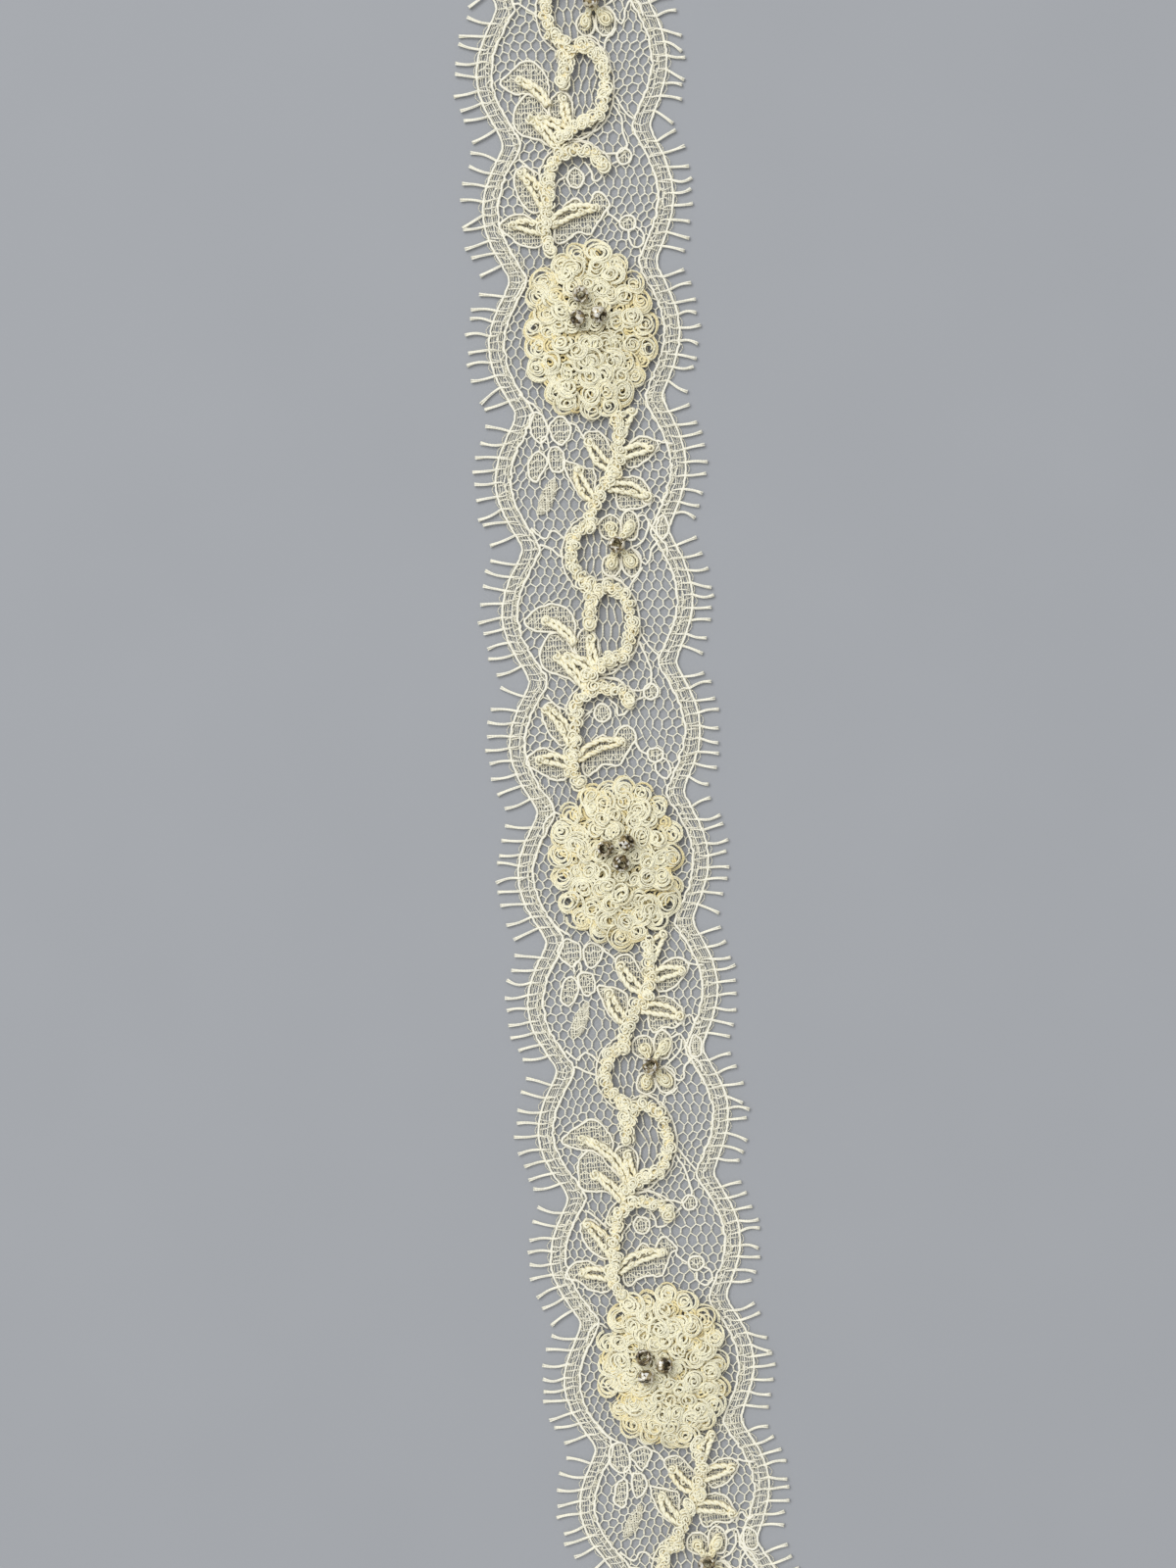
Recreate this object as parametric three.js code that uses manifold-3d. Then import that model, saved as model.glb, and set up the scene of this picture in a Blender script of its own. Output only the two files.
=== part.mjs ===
// Beaded lace trim: a cut length of narrow scalloped lace with thread lashes on both edges,
// raised cord vine work, flowers of curled cord and sewn-on seed beads.
// Millimetres, +Z up. The trim lies flat on its back along Y, its worked face up.
//
// Places on the trim are given as t, across it (+t is its right edge), and s, down it from the
// centre of flower 1. onTrim() turns them into X and Y, with the gentle bend in which the trim lies.

import * as THREE from 'three';
import { mergeVertices } from 'three/addons/utils/BufferGeometryUtils.js';
import Module from 'manifold-3d';

const wasm = await Module();
wasm.setup();

// Driving dimensions
const pieceGap = 0.3;
const laceThickness = 1.0;
const repeatLength = 67.3;
const scallopPitch = repeatLength / 4;
const trimStart = -57.2;
const trimEnd = 169;

// Where s falls along Y, and how far the centreline strays sideways there
const lie = { flower: 57.9, reach: 1.0215, ease: 0.00032 };
const bend = { side: 3.28, lean: -0.0628, bow: 2.394e-4, sway: -1.154e-6 };

// The scalloped edges: half width at a notch, how far a scallop swells, and where one peaks.
// The lace's middle lies a little left of the line that runs through the flowers.
const edge = { notch: 9.55, swell: 2.9, middle: -0.6, stepsPerScallop: 4 };
const sides = { left: { sign: -1, peak: 1.9 }, right: { sign: 1, peak: 0.4 } };

// The lashes: the thread ends that stand out from each scallop
const lash = {
  perScallop: 9,
  spacing: 1.62,
  length: 2.75,
  extraAtNotch: 0.5,
  rootWidth: 0.34,
  tipWidth: 0.48,
  lean: THREE.MathUtils.degToRad(16),
};
const fringe = { bottom: 0.2, thickness: 0.5, spine: 0.45, insetGap: 0.36 };

// Raised cord: the vine cord, and the thinner cord in its leaves
const vineCord = { radius: 0.72, sides: 5, stepLength: 2.3 };
const leafCord = { radius: 0.6, sides: 4, stepLength: 2.6 };

// Seed beads: rounded rings, widest at the waist; tilt is how far the hole leans from upright
const bead = {
  waistRadius: 1.1,
  shoulderRadius: 0.8,
  holeRadius: 0.4,
  halfLength: 0.75,
  holeHalfLength: 0.45,
  segments: 7,
  tilt: 40,
};

const finish = {
  lace: { color: 0xe9e4d4, roughness: 0.85, metalness: 0 },
  lashes: { color: 0xece6d2, roughness: 0.8, metalness: 0 },
  cord: { color: 0xe6dab0, roughness: 0.75, metalness: 0 },
  curls: { color: 0xeadfb6, roughness: 0.75, metalness: 0 },
  silverBead: { color: 0x8f8b84, roughness: 0.2, metalness: 0.8 },
};

// Places on the trim

function onTrim(t, s) {
  const y = lie.flower - lie.reach * s + lie.ease * s * s;
  const x = bend.side + y * (bend.lean + y * (bend.bow + y * bend.sway));
  const slope = bend.lean + y * (2 * bend.bow + 3 * y * bend.sway);
  const length = Math.hypot(1, slope);
  return new THREE.Vector2(x + t / length, y - (t * slope) / length);
}

// Where the lace's edge lies across the trim: a half wave for each scallop
function edgeAt(side, s) {
  const wave = Math.abs(Math.cos((Math.PI * (s - side.peak)) / scallopPitch));
  return edge.middle + side.sign * (edge.notch + edge.swell * wave);
}

// Values of s along the trim, with one at each notch of that side and none crowding its ends
function edgeSteps(side) {
  const step = scallopPitch / edge.stepsPerScallop;
  const shortestStep = step / 5;
  const notch = side.peak + scallopPitch / 2;
  const steps = [trimStart];
  const stepsBefore = Math.ceil((trimStart + shortestStep - notch) / step);
  for (let s = notch + stepsBefore * step; s < trimEnd - shortestStep; s += step) {
    steps.push(s);
  }
  steps.push(trimEnd);
  return steps;
}

// Solids

function slab(outline, bottom, thickness) {
  const geometry = new THREE.ExtrudeGeometry(new THREE.Shape(outline), {
    depth: thickness,
    bevelEnabled: false,
  });
  geometry.translate(0, 0, bottom);
  return geometry;
}

function polygonSection(radius, count) {
  const corners = [];
  for (let i = 0; i < count; i += 1) {
    const angle = (2 * Math.PI * (i + 0.5)) / count;
    corners.push(new THREE.Vector2(radius * Math.cos(angle), radius * Math.sin(angle)));
  }
  return new THREE.Shape(corners);
}

function cordAlong(curve, kind) {
  const steps = Math.max(2, Math.round(curve.getLength() / kind.stepLength));
  return new THREE.ExtrudeGeometry(polygonSection(kind.radius, kind.sides), {
    steps,
    extrudePath: curve,
    bevelEnabled: false,
  });
}

function solidOf(geometry) {
  const bare = geometry.clone();
  bare.deleteAttribute('normal');
  bare.deleteAttribute('uv');
  const merged = mergeVertices(bare, 1e-4);
  return new wasm.Manifold(new wasm.Mesh({
    numProp: 3,
    vertProperties: merged.attributes.position.array,
    triVerts: new Uint32Array(merged.index.array),
  }));
}

function joined(geometries) {
  const solids = geometries.map(solidOf);
  const whole = solids.reduce((sum, next) => sum.add(next));
  const mesh = whole.getMesh();
  const geometry = new THREE.BufferGeometry();
  geometry.setAttribute('position', new THREE.BufferAttribute(mesh.vertProperties, 3));
  geometry.setIndex(new THREE.BufferAttribute(mesh.triVerts, 1));
  geometry.computeVertexNormals();
  return geometry;
}

function piece(name, geometry, look) {
  const mesh = new THREE.Mesh(geometry, new THREE.MeshStandardMaterial(look));
  mesh.name = name;
  return mesh;
}

// The lace band: net ground and woven borders as one sheet with scalloped sides

function laceBand() {
  const rightEdge = edgeSteps(sides.right);
  const leftEdge = edgeSteps(sides.left).reverse();
  const outline = [
    ...rightEdge.map((s) => onTrim(edgeAt(sides.right, s), s)),
    ...leftEdge.map((s) => onTrim(edgeAt(sides.left, s), s)),
  ];
  return slab(outline, 0, laceThickness);
}

// One comb of lashes: a spine that follows the scallops, and a tooth for each lash

function lashPlaces(side) {
  const places = [];
  const peaksBefore = Math.round((trimStart - side.peak) / scallopPitch);
  const firstPeak = side.peak + peaksBefore * scallopPitch;
  for (let peak = firstPeak; peak < trimEnd + scallopPitch / 2; peak += scallopPitch) {
    for (let i = 0; i < lash.perScallop; i += 1) {
      const fromPeak = (2 * i) / (lash.perScallop - 1) - 1;
      const s = peak + (i - (lash.perScallop - 1) / 2) * lash.spacing;
      if (s > trimStart + lash.rootWidth && s < trimEnd - lash.rootWidth) {
        places.push({ s, fromPeak });
      }
    }
  }
  return places;
}

function lashComb(side) {
  const outerEdge = (s) => edgeAt(side, s) + side.sign * (fringe.insetGap + fringe.spine);
  const innerEdge = (s) => edgeAt(side, s) + side.sign * fringe.insetGap;
  const outline = [onTrim(outerEdge(trimStart), trimStart)];
  for (const { s, fromPeak } of lashPlaces(side)) {
    const length = lash.length + lash.extraAtNotch * fromPeak ** 2;
    const angle = lash.lean * fromPeak;
    const tipT = outerEdge(s) + side.sign * length * Math.cos(angle);
    const tipS = s + length * Math.sin(angle);
    const root = lash.rootWidth / 2;
    const tip = lash.tipWidth / 2;
    outline.push(
      onTrim(outerEdge(s - root), s - root),
      onTrim(tipT, tipS - tip),
      onTrim(tipT, tipS + tip),
      onTrim(outerEdge(s + root), s + root),
    );
  }
  outline.push(onTrim(outerEdge(trimEnd), trimEnd));
  const inside = edgeSteps(side).reverse();
  outline.push(...inside.map((s) => onTrim(innerEdge(s), s)));
  return slab(outline, fringe.bottom, fringe.thickness);
}

// Raised cords. A bowed cord runs between two places and swells sideways by its bow;
// a scroll is part of an oval, its angles in degrees, 0 at +t and 90 further down the trim.

const stemCords = [
  { fromT: 2.8, fromS: 10.9, toT: 2.2, toS: 18.0, bow: 0.5 },
  { fromT: 2.2, fromS: 18.0, toT: -1.3, toS: 24.6, bow: -0.5 },
];
const stemLeaves = [
  { fromT: 3.0, fromS: 13.9, toT: 4.9, toS: 10.4, bow: 0.3 },
  { fromT: 1.9, fromS: 17.6, toT: -0.6, toS: 14.1, bow: 0.5 },
  { fromT: 3.0, fromS: 16.2, toT: 6.9, toS: 15.3, bow: 0.4 },
  { fromT: -0.4, fromS: 21.6, toT: -2.4, toS: 17.6, bow: 0.4 },
  { fromT: 1.3, fromS: 20.0, toT: 6.2, toS: 21.3, bow: 0.5 },
];
const upperScroll = { t: -0.9, s: 28.3, radiusT: 2.9, radiusS: 3.8, from: 260, to: 110 };
const lowerScroll = { t: 0.7, s: 37.2, radiusT: 2.7, radiusS: 4.7, from: -150, to: 100 };
const clusterCords = [
  { fromT: -1.7, fromS: 31.9, toT: -1.9, toS: 36.9, bow: 0.2 },
  { fromT: 0.0, fromS: 41.9, toT: -2.6, toS: 43.6, bow: 0.2 },
];
const clusterLeaves = [
  { fromT: -2.4, fromS: 43.2, toT: -7.4, toS: 36.3, bow: -1.0 },
  { fromT: -2.6, fromS: 43.8, toT: -7.2, toS: 40.3, bow: -0.8 },
  { fromT: -1.6, fromS: 42.4, toT: -2.0, toS: 38.7, bow: 0.3 },
];
const archScroll = { t: -0.7, s: 48.7, radiusT: 3.7, radiusS: 3.5, from: 180, to: 325 };
const archCords = [
  { fromT: -4.4, fromS: 48.4, toT: -5.2, toS: 54.0, bow: 0.2 },
  { fromT: -5.2, fromS: 54.0, toT: -4.4, toS: 57.4, bow: -0.3 },
];
const archLeaves = [
  { fromT: -5.0, fromS: 52.6, toT: -7.9, toS: 47.6, bow: -0.5 },
  { fromT: -4.9, fromS: 55.2, toT: -9.2, toS: 54.0, bow: -0.4 },
  { fromT: -4.5, fromS: 54.4, toT: 1.3, toS: 52.4, bow: 0.7 },
];

function bowedCord(row, kind) {
  const from = onTrim(row.fromT, row.fromS);
  const to = onTrim(row.toT, row.toS);
  const sideways = new THREE.Vector2(from.y - to.y, to.x - from.x).normalize();
  const middle = from.clone().add(to).multiplyScalar(0.5).addScaledVector(sideways, 2 * row.bow);
  const height = laceThickness + pieceGap + kind.radius;
  const ends = [from, middle, to].map((p) => new THREE.Vector3(p.x, p.y, height));
  return cordAlong(new THREE.QuadraticBezierCurve3(...ends), kind);
}

function scrolledCord(row, kind) {
  const height = laceThickness + pieceGap + kind.radius;
  const points = [];
  const pointCount = 12;
  for (let i = 0; i <= pointCount; i += 1) {
    const angle = THREE.MathUtils.degToRad(row.from + ((row.to - row.from) * i) / pointCount);
    const p = onTrim(row.t + row.radiusT * Math.cos(angle), row.s + row.radiusS * Math.sin(angle));
    points.push(new THREE.Vector3(p.x, p.y, height));
  }
  return cordAlong(new THREE.CatmullRomCurve3(points), kind);
}

function movedDown(row, distance) {
  const moved = { ...row };
  for (const column of ['s', 'fromS', 'toS']) {
    if (column in row) {
      moved[column] += distance;
    }
  }
  return moved;
}

// The vine of one repeat; the last one on the trim is cut off below its upper scroll
function vine(repeatStart, isCutShort) {
  const at = (row) => movedDown(row, repeatStart);
  const parts = [
    ...stemCords.map((row) => bowedCord(at(row), vineCord)),
    ...stemLeaves.map((row) => bowedCord(at(row), leafCord)),
    scrolledCord(at(upperScroll), vineCord),
  ];
  if (!isCutShort) {
    parts.push(
      ...clusterCords.map((row) => bowedCord(at(row), vineCord)),
      scrolledCord(at(lowerScroll), vineCord),
      ...clusterLeaves.map((row) => bowedCord(at(row), leafCord)),
    );
  }
  return joined(parts);
}

function archSpray(repeatStart) {
  const at = (row) => movedDown(row, repeatStart);
  return joined([
    scrolledCord(at(archScroll), vineCord),
    ...archCords.map((row) => bowedCord(at(row), vineCord)),
    ...archLeaves.map((row) => bowedCord(at(row), leafCord)),
  ]);
}

// Flowers: three rows of curled cord, each a lobed oval, stepped up into a low dome

const flowerCentre = { t: -0.1, s: 0.4 };
const flowerRows = [
  { radiusT: 8.2, radiusS: 10.8, curls: 20, bottom: 1.3, top: 2.3 },
  { radiusT: 6.0, radiusS: 8.2, curls: 15, bottom: 2.2, top: 3.0 },
  { radiusT: 3.8, radiusS: 5.6, curls: 10, bottom: 2.9, top: 3.6 },
];
const curlDepth = 0.05;

function curlRow(row, repeatStart) {
  const outline = [];
  for (let i = 0; i < 2 * row.curls; i += 1) {
    const angle = (Math.PI * i) / row.curls;
    const reach = 1 - curlDepth * (i % 2);
    outline.push(onTrim(
      flowerCentre.t + row.radiusT * reach * Math.cos(angle),
      repeatStart + flowerCentre.s + row.radiusS * reach * Math.sin(angle),
    ));
  }
  return slab(outline, row.bottom, row.top - row.bottom);
}

function flower(repeatStart) {
  return joined(flowerRows.map((row) => curlRow(row, repeatStart)));
}

// Small blossoms: four raised petals that meet under a bead

const blossomCentre = { t: 2.1, s: 27.3 };
const petals = [
  { t: 1.4, s: 25.1, halfWidth: 0.85, halfLength: 1.25 },
  { t: 3.8, s: 25.2, halfWidth: 0.8, halfLength: 1.5 },
  { t: 3.7, s: 29.3, halfWidth: 0.85, halfLength: 1.5 },
  { t: 1.4, s: 29.5, halfWidth: 0.8, halfLength: 1.4 },
];
const petalShape = { halfHeight: 0.5, around: 6, rings: 3 };
const heartShape = { rise: 0.1, thickness: 0.5, armWidth: 0.7 };

function petal(row, repeatStart) {
  const centre = onTrim(blossomCentre.t, repeatStart + blossomCentre.s);
  const place = onTrim(row.t, repeatStart + row.s);
  const outward = place.clone().sub(centre);
  const geometry = new THREE.SphereGeometry(1, petalShape.around, petalShape.rings);
  geometry.rotateX(Math.PI / 2);
  geometry.scale(row.halfLength, row.halfWidth, petalShape.halfHeight);
  geometry.rotateZ(outward.angle());
  geometry.translate(place.x, place.y, laceThickness + pieceGap + petalShape.halfHeight);
  return geometry;
}

// The stitched heart of the blossom: a thin star that reaches into each petal
function heart(repeatStart) {
  const centre = onTrim(blossomCentre.t, repeatStart + blossomCentre.s);
  const outline = [];
  for (const row of [petals[1], petals[2], petals[3], petals[0]]) {
    const arm = onTrim(row.t, repeatStart + row.s);
    const outward = arm.clone().sub(centre);
    const across = new THREE.Vector2(-outward.y, outward.x).setLength(heartShape.armWidth / 2);
    outline.push(arm.clone().add(across), arm.clone().sub(across));
  }
  return slab(outline, laceThickness + pieceGap + heartShape.rise, heartShape.thickness);
}

function blossom(repeatStart) {
  return joined([heart(repeatStart), ...petals.map((row) => petal(row, repeatStart))]);
}

// Seed beads, each sewn on through its hole and tipped to one side

function seedBead(t, s, seatHeight, turn) {
  const profile = [
    [bead.holeRadius, -bead.holeHalfLength],
    [bead.shoulderRadius, -bead.halfLength],
    [bead.waistRadius, 0],
    [bead.shoulderRadius, bead.halfLength],
    [bead.holeRadius, bead.holeHalfLength],
    [bead.holeRadius, -bead.holeHalfLength],
  ].map(([r, z]) => new THREE.Vector2(r, z));
  const geometry = new THREE.LatheGeometry(profile, bead.segments);
  geometry.rotateX(Math.PI / 2);
  geometry.rotateY(THREE.MathUtils.degToRad(bead.tilt));
  geometry.rotateZ(THREE.MathUtils.degToRad(turn));
  const place = onTrim(t, s);
  geometry.computeBoundingBox();
  geometry.translate(place.x, place.y, seatHeight + pieceGap - geometry.boundingBox.min.z);
  return geometry;
}

const flowerBeads = [
  [{ t: -1.0, s: -3.9, turn: 80 }, { t: -1.5, s: -1.0, turn: 200 }, { t: 1.2, s: -1.3, turn: -30 }],
  [{ t: -1.6, s: -1.4, turn: 190 }, { t: 1.1, s: -2.0, turn: 40 }, { t: 0.2, s: 0.5, turn: -60 }],
  [{ t: -2.4, s: -1.8, turn: 120 }, { t: -2.4, s: 0.8, turn: -100 }, { t: 0.0, s: -0.5, turn: 10 }],
];
const blossomBeadTurn = 60;

// The trim, with its box centred on the origin and its back at Z = 0

const trim = new THREE.Group();
trim.add(piece('lace_band', laceBand(), finish.lace));
trim.add(piece('lash_fringe_left', lashComb(sides.left), finish.lashes));
trim.add(piece('lash_fringe_right', lashComb(sides.right), finish.lashes));

const repeats = [-1, 0, 1, 2];
for (const repeat of repeats) {
  const start = repeat * repeatLength;
  const number = repeat + 1;
  const isLast = repeat === repeats.at(-1);
  trim.add(piece(`vine_${number}`, vine(start, isLast), finish.cord));
  trim.add(piece(`blossom_${number}`, blossom(start), finish.curls));
  const blossomSeat = laceThickness + pieceGap + heartShape.rise + heartShape.thickness;
  trim.add(piece(
    `blossom_bead_${number}`,
    seedBead(blossomCentre.t, start + blossomCentre.s, blossomSeat, blossomBeadTurn),
    finish.silverBead,
  ));
  if (!isLast) {
    trim.add(piece(`arch_spray_${number}`, archSpray(start), finish.cord));
  }
}

flowerBeads.forEach((beads, index) => {
  const start = index * repeatLength;
  trim.add(piece(`flower_${index + 1}`, flower(start), finish.curls));
  beads.forEach(({ t, s, turn }, beadIndex) => {
    const name = `flower_${index + 1}_bead_${beadIndex + 1}`;
    trim.add(piece(name, seedBead(t, start + s, flowerRows.at(-1).top, turn), finish.silverBead));
  });
});

const box = new THREE.Box3().setFromObject(trim);
trim.position.set(-(box.min.x + box.max.x) / 2, -(box.min.y + box.max.y) / 2, 0);
trim.updateMatrixWorld(true);

export default trim;
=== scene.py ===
import math
import random

import bpy
import numpy as np
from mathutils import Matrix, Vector


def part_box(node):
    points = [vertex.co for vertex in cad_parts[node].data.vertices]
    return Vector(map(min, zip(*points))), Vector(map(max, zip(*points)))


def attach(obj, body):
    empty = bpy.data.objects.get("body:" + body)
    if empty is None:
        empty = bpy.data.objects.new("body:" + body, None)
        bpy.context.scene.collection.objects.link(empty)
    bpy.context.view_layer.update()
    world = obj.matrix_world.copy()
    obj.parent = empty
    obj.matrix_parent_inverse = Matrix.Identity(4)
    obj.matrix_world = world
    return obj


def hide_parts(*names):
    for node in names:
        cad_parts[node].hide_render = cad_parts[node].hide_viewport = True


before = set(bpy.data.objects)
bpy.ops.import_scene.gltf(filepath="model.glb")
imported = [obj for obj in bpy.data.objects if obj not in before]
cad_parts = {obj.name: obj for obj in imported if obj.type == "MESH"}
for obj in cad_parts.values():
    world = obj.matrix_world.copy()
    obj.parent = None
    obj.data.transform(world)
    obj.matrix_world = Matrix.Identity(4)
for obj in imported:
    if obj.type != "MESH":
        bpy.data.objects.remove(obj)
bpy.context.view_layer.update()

# Beaded lace trim, lying flat. Sizes in the dictionaries are in millimetres, and mm turns them into metres.
# Places on the trim are t, across it to its right edge, and s, down it from the centre of the first flower.

mm = 0.001
fullTurn = 6.28         # an angle by chance is drawn up to one of these
halfTurn = 3.14
scene = bpy.context.scene
bpy.ops.object.select_all(action="DESELECT")

# How the trim lies: the same curve and edges as its solids
lie = {"flower": 57.9, "reach": 1.0215, "ease": 0.00032}
bend = {"side": 3.28, "lean": -0.0628, "bow": 2.394e-4, "sway": -1.154e-6}
trim = {"start": -57.2, "end": 169, "repeat": 67.3, "scallop": 67.3 / 4}
edge = {"middle": -0.6, "soft": 0.02}
leftSide = {"sign": -1, "peak": 1.9, "notch": 9.55, "swell": 2.95, "lash": 3.0}
rightSide = {"sign": 1, "peak": 0.4, "notch": 9.7, "swell": 2.5, "lash": 2.55}
flowerCentre = (-0.1, 0.4)
repeats = [-1, 0, 1, 2]
seeds = {
    "lace": 11, "leftLashes": 21, "rightLashes": 22, "vines": 31, "arches": 41, "flowers": 50, "blossoms": 60,
}


def centreLine(t, s):
    y = lie["flower"] - lie["reach"] * s + lie["ease"] * s * s
    x = bend["side"] + y * (bend["lean"] + y * (bend["bow"] + y * bend["sway"]))
    slope = bend["lean"] + y * (2 * bend["bow"] + 3 * y * bend["sway"])
    length = np.hypot(1, slope)
    return np.stack([x + t / length, y - t * slope / length], axis=-1)


# The frame puts the box's middle at the origin: the second flower tells how far that moved it
flowerLow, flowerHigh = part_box("flower_2")
seenMiddle = np.array((flowerLow + flowerHigh) / 2)[:2] / mm
frameShift = seenMiddle - centreLine(flowerCentre[0], flowerCentre[1] + trim["repeat"])


def onTrim(t, s):
    return centreLine(np.asarray(t, float), np.asarray(s, float)) + frameShift


# 1 at the peak of a scallop, 0 at a notch
def scallopWave(side, s):
    turn = np.cos(np.pi * (np.asarray(s) - side["peak"]) / trim["scallop"])
    low = math.sqrt(edge["soft"])
    return (np.sqrt(turn ** 2 + edge["soft"]) - low) / (math.sqrt(1 + edge["soft"]) - low)


def edgeAt(side, s):
    return edge["middle"] + side["sign"] * (side["notch"] + side["swell"] * scallopWave(side, s))


# The camera looks straight down, from above the place that the trim's curve is measured from
view = {"height": 460, "shownLength": 200, "sensor": 36}


def makeCamera():
    data = bpy.data.cameras.new("camera")
    data.sensor_width = view["sensor"]
    data.lens = view["sensor"] * view["height"] / view["shownLength"]
    data.clip_start = 0.01
    camera = bpy.data.objects.new("camera", data)
    camera.location = (*(frameShift * mm), view["height"] * mm)
    scene.collection.objects.link(camera)
    scene.camera = camera


makeCamera()
print("camera placed")


# Paths

def distanceAlong(points):
    return np.concatenate([[0], np.cumsum(np.linalg.norm(np.diff(points, axis=0), axis=1))])


def spaced(points, step, closed=False):
    along = distanceAlong(points)
    count = max(3 if closed else 1, round(along[-1] / step))
    where = np.linspace(0, along[-1], count + 1)
    if closed:
        where = where[:-1]
    return np.stack([np.interp(where, along, column) for column in points.T], axis=1)


def smoothed(places, step, closed=False):
    p = np.array(places, float)
    if closed:
        p = np.concatenate([p[-1:], p, p[:2]])
    else:
        p = np.concatenate([2 * p[:1] - p[1:2], p, 2 * p[-1:] - p[-2:-1]])
    u = np.linspace(0, 1, 8, endpoint=False)[:, None]
    pieces = []
    for a, b, c, d in zip(p, p[1:], p[2:], p[3:]):
        linear = (c - a) * u
        square = (2 * a - 5 * b + 4 * c - d) * u ** 2
        cube = (3 * b - a - 3 * c + d) * u ** 3
        pieces.append(0.5 * (2 * b + linear + square + cube))
    return spaced(np.concatenate(pieces + [p[-2:-1]]), step, closed)


def lifted(xy, z):
    return np.column_stack([xy, np.broadcast_to(z, len(xy))])


# The way sideways at each point of a path, and its heading
def besideOf(path):
    along = np.gradient(path, axis=0)
    along /= np.linalg.norm(along, axis=1, keepdims=True)
    return np.stack([-along[:, 1], along[:, 0]], axis=1), np.arctan2(along[:, 1], along[:, 0])


def knotted(radius, count, rng, rough=0.14):
    return radius * np.array([1 + rng.uniform(-rough, rough) for each in range(count)])


# Threads: each is a path with a thickness, and a bundle of them becomes one mesh of closed tubes

def addThread(bundle, points, radius, shade, sides=4, closed=False):
    points = np.asarray(points, float)
    bundle.append({"points": points, "radius": radius, "shade": shade, "sides": sides, "closed": closed})


# Sweeps many paths at once. No thread stands upright, so up is always clear.
def sweep(points, radii, sides, closed):
    if closed:
        tangent = np.roll(points, -1, axis=1) - np.roll(points, 1, axis=1)
    else:
        tangent = np.gradient(points, axis=1)
    tangent = tangent / np.linalg.norm(tangent, axis=-1, keepdims=True)
    across = np.cross(tangent, [0, 0, 1])
    across = across / np.linalg.norm(across, axis=-1, keepdims=True)
    up = np.cross(across, tangent)
    angle = (2 * np.pi * (np.arange(sides) + 0.5) / sides)[:, None]
    ring = np.cos(angle) * up[:, :, None] - np.sin(angle) * across[:, :, None]
    return points[:, :, None] + radii[:, :, None, None] * ring


# The corners of a tube's faces, by their steps along it and round it: its sides, and its ends if it has any
def tubeFaces(count, sides, closed):
    steps = count if closed else count - 1
    i = np.repeat(np.arange(steps), sides)
    j = np.tile(np.arange(sides), steps)
    faceSets = [(np.stack([i, i, i + 1, i + 1], axis=1), np.stack([j, j + 1, j + 1, j], axis=1))]
    if not closed:
        order = np.arange(sides)[None]
        faceSets.append((np.zeros_like(order), order[:, ::-1]))
        faceSets.append((np.full_like(order, count - 1), order))
    return faceSets


# Threads with the same number of points and sides are swept together, since there are thousands of them
def bundleMesh(name, bundle, finish):
    groups = {}
    for thread in bundle:
        key = (len(thread["points"]), thread["sides"], thread["closed"])
        groups.setdefault(key, []).append(thread)
    coords, corners, totals, uvs, shades = [], [], [], [], []
    base = 0
    for (count, sides, closed), threads in groups.items():
        points = np.array([thread["points"] for thread in threads])
        radii = np.array([np.broadcast_to(thread["radius"], count) for thread in threads])
        coords.append(sweep(points, radii, sides, closed).reshape(-1, 3))
        loop = np.concatenate([points, points[:, :1]], axis=1) if closed else points
        gaps = np.linalg.norm(np.diff(loop, axis=1), axis=-1)
        along = np.concatenate([np.zeros((len(threads), 1)), np.cumsum(gaps, axis=1)], axis=1)
        starts = base + np.arange(len(threads)) * count * sides
        for faceI, faceJ in tubeFaces(count, sides, closed):
            vertex = (faceI % count) * sides + faceJ % sides
            corners.append((vertex[None] + starts[:, None, None]).ravel())
            totals.append(np.full(len(threads) * len(faceI), faceI.shape[1]))
            u = along[:, faceI]
            v = np.broadcast_to((faceJ + 0.5) / sides, u.shape)  # 0 and 1 on top, 0.5 underneath
            uvs.append(np.stack([u, v], axis=-1).reshape(-1, 2))
        shades.append(np.repeat([thread["shade"] for thread in threads], count * sides))
        base += len(threads) * count * sides
    return newObject(name, finish, *map(np.concatenate, (coords, corners, totals, uvs, shades)))


def newObject(name, finish, coords, corners, totals, uvs, shades):
    mesh = bpy.data.meshes.new(name)
    mesh.vertices.add(len(coords))
    mesh.vertices.foreach_set("co", (coords * mm).ravel())
    mesh.loops.add(len(corners))
    mesh.loops.foreach_set("vertex_index", corners.astype(np.int32))
    mesh.polygons.add(len(totals))
    mesh.polygons.foreach_set("loop_start", (np.cumsum(totals) - totals).astype(np.int32))
    mesh.update(calc_edges=True)
    mesh.polygons.foreach_set("use_smooth", np.ones(len(totals), bool))
    mesh.uv_layers.new(name="thread").data.foreach_set("uv", uvs.ravel())
    mesh.attributes.new("shade", "FLOAT", "POINT").data.foreach_set("value", shades)
    mesh.materials.append(finish)
    made = bpy.data.objects.new(name, mesh)
    scene.collection.objects.link(made)
    print(name, int((totals - 2).sum()), "triangles")
    return made


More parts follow.
